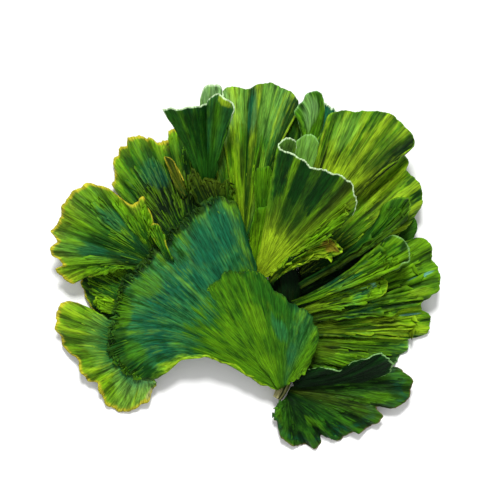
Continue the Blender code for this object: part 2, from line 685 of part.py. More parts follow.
def blade_middle(fan):
    """The grid of points midway through a fan's thickness, with the ribs as rows."""
    root_curve = curve_through(fan.root)
    rim_curve = curve_through(fan.rim)
    columns, rows = fan.grid
    places = even_places(root_curve, rim_curve, columns)
    foot = at_places(root_curve, places)[:, None, :]
    tip = at_places(rim_curve, places)[:, None, :]
    rib = tip - foot
    rib_length = np.linalg.norm(rib, axis=2, keepdims=True)
    tooth_count, tooth_depth = fan.teeth
    notch = -0.5 * np.cos(2 * math.pi * tooth_count * places + fan.seed)
    shorter = 1.0 - tooth_depth * notch[:, None, None] / rib_length
    reach = np.linspace(0.0, 1.0, rows + 1)[None, :, None]
    bend = bend_shape(reach, fan.bend_late)
    level = rib * np.array((1.0, 1.0, 0.0))
    side = unit(np.stack((level[..., 1], -level[..., 0], level[..., 2]), axis=-1))
    points = foot + rib * reach * shorter
    points = points + side * at_places(fan.bow, places)[:, None, None] * bend
    points[..., 2] += at_places(fan.arch, places)[:, None] * bend[..., 0]
    if not fan.rolled:
        points = keep_apart(points)
    lift = relief(fan, places[:, None], reach[..., 0])
    points = points + grid_normals(points) * lift[..., None]
    lowest = RESTING_HEIGHT + RIM_THICKNESS / 2
    points[..., 2] = np.maximum(points[..., 2], lowest)
    return points


def blade_solid(fan):
    """Vertices and triangles of the closed blade, split alike on both faces."""
    middle = blade_middle(fan)
    columns, rows = fan.grid
    reach = np.linspace(0.0, 1.0, rows + 1)[None, :, None]
    thinned = np.minimum(1.0, reach / THIN_FROM)
    half = 0.5 * (ROOT_THICKNESS + (RIM_THICKNESS - ROOT_THICKNESS) * thinned)
    normals = steady_normals(middle)
    upper = middle + normals * half
    lower = middle - normals * half
    lower[..., 2] = np.maximum(lower[..., 2], RESTING_HEIGHT)
    count = (columns + 1) * (rows + 1)
    vertices = np.concatenate((upper.reshape(-1, 3), lower.reshape(-1, 3)))

    def upper_index(column, row):
        return column * (rows + 1) + row

    triangles = []
    for column in range(columns):
        for row in range(rows):
            a = upper_index(column, row)
            b = upper_index(column + 1, row)
            c = upper_index(column + 1, row + 1)
            d = upper_index(column, row + 1)
            split = [(a, b, c), (a, c, d)] if (column + row) % 2 == 0 else [(a, b, d), (b, c, d)]
            for first, second, third in split:
                triangles.append((first, second, third))
                triangles.append((first + count, third + count, second + count))
    edge = [upper_index(column, 0) for column in range(columns)]
    edge += [upper_index(columns, row) for row in range(rows)]
    edge += [upper_index(column, rows) for column in range(columns, 0, -1)]
    edge += [upper_index(0, row) for row in range(rows, 0, -1)]
    for this, following in zip(edge, edge[1:] + edge[:1]):
        triangles.append((this, this + count, following + count))
        triangles.append((this, following + count, following))
    return vertices, triangles


def stalk_solid():
    """Vertices and triangles of the stalk: a ridged tube along its path, flat where it rests."""
    path = curve_through([point[:3] for point in STALK_PATH], STALK_RINGS)
    wanted = np.linspace(0.0, 1.0, STALK_RINGS)
    widths = at_places([point[3] for point in STALK_PATH], wanted)
    heights = at_places([point[4] for point in STALK_PATH], wanted)
    along = unit(np.gradient(path, axis=0))
    sideways = unit(np.cross(along, (0.0, 0.0, 1.0)))
    upward = np.cross(sideways, along)
    angles = np.arange(STALK_SIDES) * 2 * math.pi / STALK_SIDES
    ridges = 1.0 + STALK_RIDGE_HEIGHT * np.cos(STALK_RIDGES * angles)
    rings = []
    for centre, width, height, side, up in zip(path, widths, heights, sideways, upward):
        spokes = np.cos(angles)[:, None] * side * width + np.sin(angles)[:, None] * up * height
        rings.append(centre + ridges[:, None] * spokes)
    vertices = np.concatenate(rings + [path[:1], path[-1:]])
    vertices[:, 2] = np.maximum(vertices[:, 2], RESTING_HEIGHT)
    first_centre = STALK_RINGS * STALK_SIDES
    last_centre = first_centre + 1
    last_ring = (STALK_RINGS - 1) * STALK_SIDES
    triangles = []
    for spoke in range(STALK_SIDES):
        following = (spoke + 1) % STALK_SIDES
        for ring in range(STALK_RINGS - 1):
            near = ring * STALK_SIDES
            far = near + STALK_SIDES
            triangles.append((near + spoke, far + following, near + following))
            triangles.append((near + spoke, far + spoke, far + following))
        triangles.append((first_centre, spoke, following))
        triangles.append((last_centre, last_ring + following, last_ring + spoke))
    return vertices, triangles


def plain_material(name, colour):
    """A Principled material of one colour."""
    material = bpy.data.materials.new(name)
    material.use_nodes = True
    shader = material.node_tree.nodes["Principled BSDF"]
    shader.inputs["Base Color"].default_value = (*colour, 1.0)
    shader.inputs["Roughness"].default_value = BLADE_ROUGHNESS
    shader.inputs["Metallic"].default_value = 0.0
    return material


def add_object(name, vertices, triangles, colour):
    """Make one object of a closed mesh, whose vertices are in millimetres."""
    mesh = bpy.data.meshes.new(name)
    placed = (vertices - CLUMP_CENTRE) * MILLIMETRE
    mesh.from_pydata(placed.tolist(), [], triangles)
    mesh.update()
    mesh.shade_smooth()
    mesh.set_sharp_from_angle(angle=math.radians(SHARP_EDGE_DEGREES))
    mesh.materials.append(plain_material(name, colour))
    solid = bpy.data.objects.new(name, mesh)
    bpy.context.scene.collection.objects.link(solid)
    return solid


def clear_scene():
    """Remove whatever the scene holds."""
    for old in list(bpy.data.objects):
        bpy.data.objects.remove(old, do_unlink=True)


def main():
    clear_scene()
    for fan in FANS:
        vertices, triangles = blade_solid(fan)
        add_object(fan.name, vertices, triangles, fan.colour)
    vertices, triangles = stalk_solid()
    add_object("stipe", vertices, triangles, STALK_BEIGE)


main()
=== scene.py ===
"""Looks of the mermaid's fan: finely ribbed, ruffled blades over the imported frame, on a white table.

Lengths are in millimetres unless a name says otherwise. The curves of each blade are those of its CAD
node, so every fine blade lies where its node does, with folds, fibres and a frilled rim added.
"""

import math
from dataclasses import dataclass

import bpy
import numpy as np
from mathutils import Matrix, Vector


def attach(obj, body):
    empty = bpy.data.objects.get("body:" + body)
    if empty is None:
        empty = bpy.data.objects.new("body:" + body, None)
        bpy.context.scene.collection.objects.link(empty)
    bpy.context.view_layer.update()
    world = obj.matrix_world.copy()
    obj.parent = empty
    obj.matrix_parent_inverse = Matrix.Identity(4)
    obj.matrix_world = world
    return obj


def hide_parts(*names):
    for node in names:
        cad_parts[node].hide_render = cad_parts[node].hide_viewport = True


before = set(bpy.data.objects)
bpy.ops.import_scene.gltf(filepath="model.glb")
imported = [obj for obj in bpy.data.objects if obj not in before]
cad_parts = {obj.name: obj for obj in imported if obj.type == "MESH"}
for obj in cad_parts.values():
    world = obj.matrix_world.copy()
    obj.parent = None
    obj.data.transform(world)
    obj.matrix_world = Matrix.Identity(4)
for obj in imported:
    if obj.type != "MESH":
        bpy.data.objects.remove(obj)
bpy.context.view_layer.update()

# Sizes and growth of the blades, as in the CAD source
MILLIMETRE = 0.001
CLUMP_CENTRE = np.array((-2.0, 1.32, 0.0))
RIM_THICKNESS = 0.8
ROOT_THICKNESS = 1.3
THIN_FROM = 0.4
RESTING_HEIGHT = 0.0
SLIDE_SHARE = 0.25
WAVE_STRETCH = 0.35
PLEAT_DRIFT = 1.1
WAVE_GROWTH = 2.0
PLEAT_GROWTH = 1.5
CREASE_GROWTH = 1.2
DRIFT_PARTS = ((1.3, 0.5), (2.9, 0.3), (5.3, 0.2))
LEAST_ROOT_GAP = 0.02
LEAST_RIM_GAP = 0.3

# Grid of a fine blade, finer than in the CAD source
CURVE_SAMPLES = 961
COLUMN_PITCH = 0.42
ROW_PITCH = 1.25
LEAST_COLUMNS = 8
LEAST_ROWS = 6
SHAPE_SEED = 1000

# Smooth noise: a spline over a coarse random grid that reaches past the places that are read
NOISE_SPREAD = 0.6
NOISE_GAIN = 1.6
NOISE_MARGIN = 4
NOISE_END = 3.001

# Normals are evened over a part of the columns for the relief, and over a few columns for the faces
RELIEF_NORMAL_PART = 60
RELIEF_NORMAL_ROUNDS = 3
FACE_NORMAL_REACH = 2
FACE_NORMAL_ROUNDS = 2

# Teeth and frills of the free edges
FRILL_BUMPS = 2
EDGE_THICKNESS = 0.4
EDGE_REACH = 1.5
TOOTH_PITCH = 2.4
FINE_TOOTH_PITCH = 0.9
FINE_TOOTH_SHARE = 0.7
FRILL_PITCH = 3.2
FRILL_REACH = 3.0
SIDE_FRILL_PITCH = 3.0
SIDE_FRILL_REACH = 1.6
FULL_FRILL_WIDTH = 12.0
SIDE_DROP_REACH = 6.0

# Folds, wrinkles, fibres and growth lines of the faces
FOLD_SHARE = 0.5
FOLD_GROWTH = 1.2
BROAD_FOLD_RATIO = 2.4
BROAD_FOLD_LENGTH = 26.0
BROAD_FOLD_SHARE = 0.7
WRINKLE_PITCH = 2.0
WRINKLE_LENGTH = 7.0
WRINKLE_SHARE = 0.35
FIBRE_PITCH = 1.1
FIBRE_LENGTH = 22.0
FIBRE_HEIGHT = 0.16
FIBRES_FULL_FROM = 0.15
GROWTH_BAND = 5.5
GROWTH_HEIGHT = 0.06
GROWTH_WAVER = 2.5
# Fold shade, which the skin paints as shade in the valleys and as a highlight on the ridges
FOLD_SHADE_SPAN = 5.0
FOLD_SHADE_HEIGHT = 1.1

# Upright flakes of tissue: heights and stretches are shares of the tallest, leans are in radians
FLAKE_SEED = 5000
FLAKE_HEIGHTS = (0.45, 1.0)
FLAKE_STRETCH = (3.5, 8.0)
FLAKE_WANDER = 0.006
FLAKE_LEANS = (0.3, 1.1)
FLAKE_JAGS = 0.21
FLAKE_JAG_LIMITS = (0.4, 1.5)
FLAKE_RISE = 0.7
FLAKE_FALL = 7
FLAKE_AHEAD = 0.9
FLAKE_STEPS = 9
FLAKE_LEVELS = 3
FLAKE_SINK = 0.3
FLAKE_THICKNESS = 0.3
FLAKE_UV_WIDTH = 0.004
# Fold shade of a flake from foot to top: painted shade at its foot and a painted highlight towards its top
FLAKE_FOOT_SHADE = 0.3
FLAKE_SHADE_RISE = 0.65

# The stalk: its pitches are in rings and sides of its grid
STALK_RINGS = 150
STALK_SIDES = 72
STALK_SEED = 77
STALK_SPANS = (26.0, 64.0)
STALK_RIDGES = 4
STALK_RIDGE_HEIGHT = 0.12
STALK_FIBRE_PITCH = (14.0, 2.0)
STALK_FIBRE_HEIGHT = 0.05
STALK_KNOT_PITCH = (6.0, 8.0)
STALK_KNOT_HEIGHT = 0.03
STALK_SEAM = 6.0
# Painted shade in the grooves of the stalk's fibres and painted highlights on their tops
STALK_SHADE = 0.4

# Noise of the skin: pitch across and along the blade, detail, roughness
NOISES = {
    "sector": (13.0, 60.0, 1.0, 0.55),
    "cloud": (9.0, 11.0, 3.0, 0.6),
    "streak": (1.8, 12.0, 3.0, 0.6),
    "fleck": (0.45, 4.0, 2.0, 0.6),
    "fibre": (0.9, 9.0, 2.0, 0.6),
}
SEED_SHIFT = (7.3, 3.1)

# How much of each noise goes into each layer of the skin
ALONG_WANDER = {"sector": 0.3, "cloud": 0.5, "streak": 0.3, "fleck": 0.15}
ACROSS_WANDER = {"cloud": 0.06, "streak": 0.04}
FOLD_WANDER = {"fleck": 0.4}
PATCH_WANDER = {"streak": 2.0}
RIM_RAGGEDNESS = 3.0
MOTTLE_SHARES = {"streak": 0.35, "fleck": 0.35, "cloud": 0.3}
MEAN_MOTTLE = 0.5
BRIGHTNESS_SHARES = {"fibre": 2.6, "fleck": 2.0}
MEAN_BRIGHTNESS = 1.09
LEAST_BRIGHTNESS = 0.15
ROUGHNESS_SHARES = {"streak": 0.35, "fleck": 0.2}
MEAN_ROUGHNESS = 0.495
BUMP_SHARES = {"streak": -0.5, "fleck": -0.5}
MEAN_BUMP = 0.5
BUMP_STRENGTH = 0.9
BUMP_DEPTH_M = 0.0009
SKIN_GLOSS = 0.07

# Where a layer of the skin begins and where it is full; for the rim, in widths of its band
DARK_WINDOW = (0.5, 0.585)
LIGHT_WINDOW = (0.49, 0.41)
# Painted shade in the fold valleys, stronger near the root, and a painted highlight on the ridges
VALLEY_SHADE_WINDOW = (0.44, 0.14)
VALLEY_SHADE_AT_ROOT = 1.1
VALLEY_SHADE_LOSS = 0.4
RIDGE_HIGHLIGHT_WINDOW = (0.6, 0.92)
PATCH_WINDOW = (1.3, 0.3)
RIM_WINDOW = (1.5, 0.4)
RIM_END_FADE = 0.04
ACROSS_FADE = 0.2

# The white table: its noise has a scale per metre, a detail and a roughness
TABLE_NOISE = (40.0, 2.0, 0.5)
TABLE_DULL = (0.93, 0.93, 0.925)
TABLE_WHITE = (0.96, 0.96, 0.96)
TABLE_ROUGHNESS = 0.8
TABLE_GLOSS = 0.1

# Stage; distances with _M are in metres
TABLE_HALF_M = 1.5
SUN_SPOT_M = (0.0, 0.85, 1.15)
SUN_WIDTH_DEGREES = 14
SUN_STRENGTH = 3.3
WORLD_WHITE = (1.0, 1.0, 1.0, 1.0)
WORLD_STRENGTH = 0.68
CAMERA_SPOT_M = (0.002, 0.00668, 2.235)
CAMERA_LENS = 400.0
CAMERA_SENSOR = 36.0
CAMERA_CLIP_M = (0.1, 6.0)

# Edge distance that is beyond the reach of any rim colour
NO_EDGE = 9.0

# Folds of the crumpled right-hand fans: pitch, height, length
CRUMPLED = (2.8, 1.4, 9.0)

# Colours: linear red, green and blue
INK = (0.001, 0.009, 0.001)
DEEP = (0.003, 0.033, 0.002)
FOREST = (0.012, 0.080, 0.004)
TEAL = (0.004, 0.082, 0.036)
SEA = (0.018, 0.130, 0.034)
LEAF = (0.030, 0.125, 0.003)
GRASS = (0.060, 0.185, 0.002)
LIME = (0.125, 0.290, 0.003)
ACID = (0.140, 0.250, 0.006)
SUN_LIME = (0.270, 0.430, 0.010)
OCHRE = (0.420, 0.360, 0.020)
FERN = (0.110, 0.270, 0.030)
MINT = (0.190, 0.380, 0.120)
PALE_MINT = (0.450, 0.600, 0.350)
OLIVE = (0.045, 0.075, 0.002)
DULL_OLIVE = (0.050, 0.090, 0.003)
BARK = (0.012, 0.018, 0.002)
RUST = (0.180, 0.085, 0.010)
BLUSH = (0.280, 0.170, 0.070)
SKY = (0.130, 0.380, 0.300)
BEIGE = (0.380, 0.360, 0.160)


@dataclass
class Fan:
    """One blade, as in the CAD source. Its curves run clockwise as seen from above.

    Bow and arch say how far the ribs bend sideways and up, from the first rib to the last. Waves, pleats and
    teeth are (count, height), and a crease is (place, width, depth). The ribs are those of the CAD node.
    """

    name: str
    root: list
    rim: list
    ribs: int
    bow: tuple = (0, 0)
    arch: tuple = (0, 0)
    bend_late: float = 1
    waves: tuple = (2, 0)
    pleats: tuple = (7, 0.3)
    teeth: tuple = (9, 0)
    creases: tuple = ()
    rolled: bool = False
    seed: int = 1


@dataclass
class Look:
    """The finish of one blade. Places run from 0 to 1: along from root to rim, across from rib to rib.

    Stops are (place, colour), with a strength across the blade. A patch is (across, along, half width,
    half length, colour, strength). In millimetres are rim (colour, width, strength), folds (pitch, height,
    length) and frill (height of the curled rim, depth of its ragged teeth). A field of flakes is (count,
    from and to across, from and to along, tallest).
    """

    along: tuple
    across: tuple = ()
    across_from: float = 0.0
    patches: tuple = ()
    rim: tuple = (LIME, 0.8, 0.6)
    rim_span: tuple = (0, 1)
    dark: tuple = INK
    light: tuple = LIME
    contrast: tuple = (0.75, 0.45)
    # Strengths of the painted shade in the fold valleys and of the painted highlight on the ridges, laid in
    # the dark and light colours
    shade: float = 0.9
    ridge_highlight: float = 0.5
    folds: tuple = (3.2, 0.5, 15)
    frill: tuple = (0.35, 0.3)
    side_fade: float = 7
    side_drop: float = 0
    flakes: tuple = ()


FANS = [
    Fan(
        name="main_fan", root=[(11.2, -48, 8.8), (15.6, -45.6, 9.2)],
        rim=[
            (-38, -44, 8), (-44.4, -43.2, 7.6), (-49.6, -40.4, 7.6), (-53.6, -36, 8), (-56, -28, 9),
            (-54.8, -21.2, 10), (-52.8, -12, 11.5), (-50.4, -6, 12.5), (-44, 0.8, 14.2), (-39.2, 8, 15),
            (-34, 11.2, 15.3), (-31.2, 16, 15.8), (-26, 19.6, 16.8), (-18, 26.4, 17.8),
            (-12.8, 29.6, 18.2), (-8.8, 28.4, 18.4), (-5.6, 26.8, 18.2), (-4, 23.2, 17.6),
        ],
        ribs=34, bow=(11.2, 11.6, 8.8, 3.8, 0.5, 0, 0, 0, 0), arch=(5, 5, 4.5, 4.1, 3.6, 3), bend_late=1.6,
        waves=(3, 0.4), pleats=(9, 0.3), seed=3,
    ),
    Fan(
        name="inner_fan", root=[(11.4, -47.4, 11), (15.2, -45.4, 11.3)],
        rim=[
            (-18, -8.8, 19.9), (-14.4, -4.8, 20.4), (-9.6, 0, 20.8), (-4.8, -0.4, 21), (-1.2, -0.4, 21),
            (2.4, 0.4, 20.8), (6, -2.8, 20.4), (8.8, -6.4, 20), (13.6, -10, 19.2), (21.2, -16.4, 17.8),
            (23.6, -17.2, 17.2), (26.4, -22, 16), (26.8, -26, 15), (25.2, -35.6, 12.8), (22.4, -40.4, 12),
        ],
        ribs=30, arch=(-0.4, 0, 1, 1.6, 1.2), bend_late=1.3, waves=(2, 0.25), pleats=(8, 0.15),
        teeth=(9, 0.5), seed=4,
    ),
    Fan(
        name="lower_left_fan",
        root=[
            (-38.4, -43.6, 5.8), (-43.6, -42, 5.4), (-48.4, -39.2, 5.4), (-52, -35.2, 5.8),
            (-54, -28, 6.8), (-53.2, -20.8, 7.8),
        ],
        rim=[
            (-37.6, -46.4, 5), (-39.2, -49.8, 3.4), (-42.8, -53.4, 2), (-47, -56, 0.8),
            (-51.8, -56.8, 0.4), (-56.6, -54.8, 1.2), (-59.8, -51.2, 3), (-61, -45.6, 4.6),
            (-65.6, -44.4, 4), (-68.4, -39.2, 5.4), (-69.6, -35.6, 5), (-74, -32.8, 3.6),
            (-76.4, -28, 3.4), (-77.2, -21.2, 5), (-76.4, -15.6, 6), (-70.8, -12.4, 7.5),
            (-63.6, -16.8, 8),
        ],
        ribs=32, arch=(1, 1.5, 2), waves=(3, 0.9), pleats=(9, 0.6), teeth=(14, 0.8), seed=5,
    ),
    Fan(
        name="left_back_fan", root=[(-51.6, -21.2, 5.7), (-50, -15, 7.6), (-45, -2, 9.5)],
        rim=[
            (-62.4, -18.6, 2.6), (-63.8, -16, 2.2), (-65.6, -12, 1.6), (-67.2, -8, 1.2), (-68, -3.2, 1.6),
            (-64.8, 0.8, 3), (-60, 4, 4.5), (-54, 5.6, 6),
        ],
        ribs=14, pleats=(5, 0.4), teeth=(7, 0.5), seed=7,
    ),
    Fan(
        name="left_frill", root=[(-52, -18, 9), (-48.8, -13.6, 9.9)],
        rim=[
            (-58.4, -16.8, 8.4), (-62, -14, 7.5), (-62.4, -11.2, 8), (-58.8, -11.2, 9.2),
            (-55.6, -12, 9.6), (-53.6, -12.8, 9.6),
        ],
        ribs=14, pleats=(4, 0.35), teeth=(5, 1.1), seed=8,
    ),
    Fan(
        name="middle_left_fan", root=[(-42, 0, 11.2), (-36, 7.2, 11.8)],
        rim=[
            (-58, 0.4, 11), (-62, -0.8, 10), (-66.8, -3.6, 9), (-70.8, -5.6, 8), (-75.2, -2.8, 8),
            (-77.6, 0.4, 8.6), (-74.4, 1.6, 9.5), (-76, 4.8, 10), (-79.6, 6, 10), (-79.6, 9.2, 10.5),
            (-77.2, 11.6, 11.5), (-80.4, 15.6, 11), (-77.2, 18.8, 12), (-76, 23.2, 13), (-72.8, 29.2, 14),
            (-68.4, 32.8, 14.5), (-63.2, 34.4, 15), (-57.2, 32, 15), (-52.4, 29.2, 14.8),
            (-47.2, 26.4, 15), (-42.4, 29.2, 17), (-40.8, 23.2, 16.5), (-39.6, 18, 16), (-38, 13.6, 15),
        ],
        ribs=34, bow=(0, 3.2, 1.5, 0.5, 0, 0, 0, 0, 0), arch=(3, 3, 2.5, 0.5), waves=(3, 0.7),
        pleats=(9, 0.7), teeth=(15, 0.4), seed=9,
    ),
    Fan(
        name="small_left_fan", root=[(-33.6, 4.8, 18), (-30.4, 3.2, 18.4)],
        rim=[
            (-38, 12, 17.8), (-40, 16.8, 18.2), (-38.8, 18.8, 18.6), (-36.8, 18.4, 18.8),
            (-34.4, 12.8, 18.6), (-32, 8, 18.6),
        ],
        ribs=10, pleats=(2, 0.3), seed=10,
    ),
    Fan(
        name="upper_left_fan",
        root=[(-33.2, 9.6, 12.4), (-28.8, 15.2, 12.6), (-23.2, 19.2, 12.8), (-16.4, 24, 12.8)],
        rim=[
            (-53.2, 28, 4), (-54.4, 32, 3), (-54.4, 36.8, 2), (-54.4, 42.8, 1), (-52.8, 48.4, 0.4),
            (-50.4, 51.2, 0.4), (-46.4, 53.6, 1.4), (-41.6, 53.6, 3), (-37.6, 51.2, 4.6), (-34.8, 50.8, 5),
            (-33.2, 51.6, 5.6), (-32.4, 54.4, 6), (-30.8, 56.8, 6.4), (-27.2, 55.2, 7), (-22, 52, 8),
            (-17.2, 46, 9), (-14.8, 39.2, 9.8), (-13.6, 32, 10.4),
        ],
        ribs=30, arch=(2, 2, 0.5), waves=(3, 0.6), pleats=(8, 0.65), teeth=(16, 1.2), seed=11,
    ),
    Fan(
        name="yellow_fold", root=[(-26.8, 28.4, 13.9), (-24.8, 30.2, 13.9)],
        rim=[
            (-31.2, 36, 14), (-33.6, 45.6, 12.6), (-31.6, 44.8, 13), (-29.2, 41.6, 13.8),
            (-26.8, 36, 14.6),
        ],
        ribs=10, pleats=(2, 0.3), seed=12,
    ),
    Fan(
        name="olive_fan", root=[(-19.6, 24.4, 14.8), (-7.2, 24.4, 15.2)],
        rim=[
            (-23.6, 31.2, 16.2), (-22.8, 40.4, 18.5), (-20.8, 38.4, 18), (-18.8, 36, 17.6),
            (-15.2, 36.8, 18.2), (-12.8, 35.6, 18), (-9.6, 36, 17.4), (-6.4, 32, 16.6),
        ],
        ribs=18, pleats=(6, 0.25), teeth=(7, 1.4), seed=13,
    ),
    Fan(
        name="folded_fan", root=[(-18.8, 31.2, 14), (-14.8, 32, 14.2)],
        rim=[
            (-34.8, 64.4, 32), (-31.2, 64.4, 34), (-27.2, 64.4, 34.5), (-22, 65.2, 32), (-18.8, 66, 29),
            (-17.2, 66.8, 27), (-15.6, 68.8, 30), (-12, 69.6, 34), (-8.8, 67.6, 36), (-6.4, 64.8, 35.5),
            (-6.8, 60.8, 33),
        ],
        ribs=22, bow=(1.6, 0, -1.2), arch=(-3, -3, -3), waves=(2, 0.3), pleats=(5, 0.4), seed=14,
    ),
    Fan(
        name="folded_back_lobe", root=[(-17.5, 44, 14.2), (-14.8, 44, 14.2)],
        rim=[
            (-20, 65.6, 19), (-19.6, 69.6, 20), (-17.6, 73.6, 21), (-14.4, 74.4, 21.5), (-11.6, 73.6, 21),
            (-10.8, 70.4, 20), (-10, 64.8, 18.5),
        ],
        ribs=12, pleats=(3, 0.3), seed=15,
    ),
    Fan(
        name="top_fan", root=[(-5.6, 10.8, 13.6), (0, 12.8, 13.8)],
        rim=[
            (-14.4, 40.8, 13.4), (-12.4, 52, 12.6), (-11.2, 64, 12.6), (-10.4, 72, 13.2), (-8, 73.2, 14),
            (-4, 73.2, 14.5), (0.8, 73.6, 15), (4.4, 74.4, 15), (8, 74.8, 14.5), (13.6, 72.4, 13.5),
            (17.2, 70, 12.5), (19.6, 67.6, 11.5), (18.4, 63.6, 12), (16, 59.6, 13), (13.6, 55.2, 14),
        ],
        ribs=26, bow=(-1.2, 0, 0, -1, -2.8), arch=(-1.5, 1, 3.5, 3.5, 1.5), bend_late=1.6, waves=(2, 0.4),
        pleats=(7, 0.45), creases=((0.52, 0.04, 1.6),), seed=16,
    ),
    Fan(
        name="slim_fan", root=[(3.6, 9.6, 13.9), (5.2, 9.4, 13.9)],
        rim=[
            (2.4, 32, 20.6), (2, 38, 22.4), (2.8, 40.8, 22.8), (5.2, 40.8, 23), (7.6, 41.6, 23),
            (8.4, 36.8, 22.4), (7.2, 30, 21),
        ],
        ribs=10, pleats=(2, 0.2), seed=17,
    ),
    Fan(
        name="sliver_fan", root=[(6.6, 8.8, 13.7), (8.2, 8.6, 13.7)],
        rim=[
            (8, 31.2, 18), (8.8, 37.6, 19), (10.4, 41.6, 19.4), (12.4, 42.8, 19.4), (13.2, 36, 18.6),
            (12.4, 29.6, 17.4),
        ],
        ribs=10, pleats=(2, 0.2), seed=18,
    ),
    Fan(
        name="strip_fan", root=[(11, 8.8, 12.9), (12.4, 8.6, 12.9)],
        rim=[
            (7.6, 47.2, 10.2), (10.4, 55.2, 10.2), (15.2, 61.6, 10.2), (19.2, 64, 10.2),
            (22.4, 62.4, 10.4), (22.4, 56, 10.6), (20.4, 48.8, 10.6),
        ],
        ribs=10, pleats=(2, 0.2), seed=19,
    ),
    Fan(
        name="rolled_fan", root=[(13.6, 7, 13.2), (15, 6.4, 13.2)],
        rim=[
            (22.8, 56.8, 16.5), (21.6, 60.4, 17), (19.6, 61.2, 17.2), (17.6, 62.4, 17.4),
            (19.2, 65.6, 17.4), (21.2, 67.6, 17.2), (22, 69.6, 17), (23.6, 70.8, 16.8), (26.8, 71.6, 16.4),
            (28.8, 70.4, 16), (29.2, 67.2, 15.8), (27.6, 63.2, 15.6), (26.4, 58, 15.4),
        ],
        ribs=14, bow=(0, 5.2, 3, 1.5, 1), bend_late=5, pleats=(2, 0.3), seed=20,
    ),
    Fan(
        name="teal_strip", root=[(15.2, 6.4, 11.2), (16.8, 5.6, 10.9)],
        rim=[
            (27.2, 58, 1.4), (28, 64, 0.6), (29.6, 67.6, 0.4), (32.4, 66.4, 0.4), (35.2, 64, 0.4),
            (34.4, 58, 1.2), (30.4, 48, 3),
        ],
        ribs=12, pleats=(2, 0.3), seed=21,
    ),
    Fan(
        name="cupped_fan", root=[(2.4, -0.8, 15.4), (5.8, -3.4, 15.4)],
        rim=[
            (18.4, 48.8, 36), (17.6, 51.2, 38), (15.2, 52.8, 41), (12.8, 52.4, 43), (11.6, 50, 44.5),
            (12.8, 46.8, 45.5), (16, 46.4, 46), (18.4, 45.2, 46.5), (22.8, 42.8, 47), (26, 40.8, 47),
            (29.2, 39.6, 46.5), (32.8, 38.4, 46), (37.2, 36.8, 44.5), (40.4, 34.8, 42.5), (42, 30.8, 39.5),
            (42.4, 25.6, 36), (40, 22, 33), (36.4, 19.6, 30.5), (34.4, 15.6, 28.6), (30.4, 12.8, 27),
            (26.8, 10.4, 26), (21.2, 8.4, 24),
        ],
        ribs=32, waves=(2, 0.3), pleats=(9, 0.6), rolled=True, seed=22,
    ),
    Fan(
        name="cup_lobe", root=[(14.4, 20, 29.5), (17, 19, 28.8)],
        rim=[
            (18.4, 49.6, 31), (18.8, 51.6, 31.6), (20.8, 53.2, 32), (24, 54.4, 32.4), (26.4, 52.8, 32.4),
            (27.2, 49.6, 32), (24.8, 46.4, 31.4),
        ],
        ribs=10, pleats=(2, 0.2), seed=23,
    ),
    Fan(
        name="cup_flange", root=[(-1.2, 3.2, 14.8), (3.2, 0.8, 13.2)],
        rim=[
            (1.2, 15.2, 19.5), (1.6, 20.8, 21.6), (2.4, 24, 22.6), (4.8, 25.2, 23.4), (8, 25.6, 24.2),
            (10.8, 24.8, 25),
        ],
        ribs=12, arch=(-1.2, -2), pleats=(2, 0.2), seed=24,
    ),
    Fan(
        name="cup_ruffle", root=[(7, -4.4, 14.8), (9.4, -6.2, 14.3)],
        rim=[
            (28.8, 12.8, 21), (33.2, 12.8, 22), (36, 10.4, 22), (37.2, 7.6, 21.6), (34.4, 5.6, 21),
            (30, 4.8, 20.6), (24, 3.6, 20), (18.4, 2, 19),
        ],
        ribs=16, bow=(-3.2, -3.6), waves=(2, 0.3), pleats=(4, 0.35), seed=25,
    ),
    Fan(
        name="right_top_fan", root=[(15.2, 3, 12.4), (17.2, 1.4, 11.8)],
        rim=[
            (29.2, 51.2, 18.6), (30, 58, 18.8), (31.6, 62, 18.4), (35.6, 63.6, 18), (40, 63.6, 17.6),
            (46, 63.6, 17.4), (53.6, 63.2, 17), (58.8, 60.4, 16.8), (62.8, 56.4, 17), (65.6, 52, 18),
            (65.2, 49.2, 19), (61.2, 46, 20.6), (56, 42.8, 22),
        ],
        ribs=26, bow=(0, 0, -0.5, -2, -3.6), arch=(3, 5, 2), waves=(2, 0.4), pleats=(7, 0.5), seed=26,
    ),
    Fan(
        name="right_upper_fan", root=[(19.8, -0.6, 11.6), (20.6, -2.8, 11.4)],
        rim=[
            (56.8, 41.6, 13), (59.2, 44.8, 12.6), (61.6, 46, 12), (63.2, 44.8, 11.4), (63.6, 42.8, 11),
            (62.8, 41.2, 10.8), (65.6, 37.6, 10), (68, 34.4, 9.6), (69.2, 31.2, 9.2), (68.8, 26.8, 9),
            (67.6, 23.2, 9), (66, 20.4, 9.2), (62, 16, 9.6), (56.8, 12, 10),
        ],
        ribs=22, bow=(-2.2, 0, 0), arch=(2, 3, 2), waves=(2, 0.3), pleats=(6, 0.5), seed=27,
    ),
    Fan(
        name="right_folded_fan", root=[(19.4, -5.2, 12.2), (20.4, -7.6, 12.1)],
        rim=[
            (52.4, 23.2, 19.6), (54.4, 26.8, 20.4), (58.8, 29.2, 20.4), (62.4, 29.2, 19), (63.6, 28, 17),
            (64, 25.2, 18.6), (62.8, 21.6, 20), (59.2, 19.2, 20),
        ],
        ribs=16, bow=(5, 3.2, 1.6), arch=(1, 1), bend_late=1.3, pleats=(2, 0.2), seed=28,
    ),
    Fan(
        name="right_back_fan", root=[(19.6, 0.8, 5.8), (19.3, -6, 4.4), (18.8, -12, 3), (19, -17, 2.2)],
        rim=[
            (50, 27, 7.6), (62, 24.8, 7.4), (65.2, 22.4, 7), (66.8, 19.6, 6.8), (67.2, 16.8, 6.6),
            (66, 13.6, 6.6), (63, 6, 6.4), (60, -9, 6),
        ],
        ribs=16, pleats=(5, 0.2), seed=29,
    ),
    Fan(
        name="right_mid_fan", root=[(16.2, -12.4, 10.1), (17.4, -14.8, 9.6)],
        rim=[
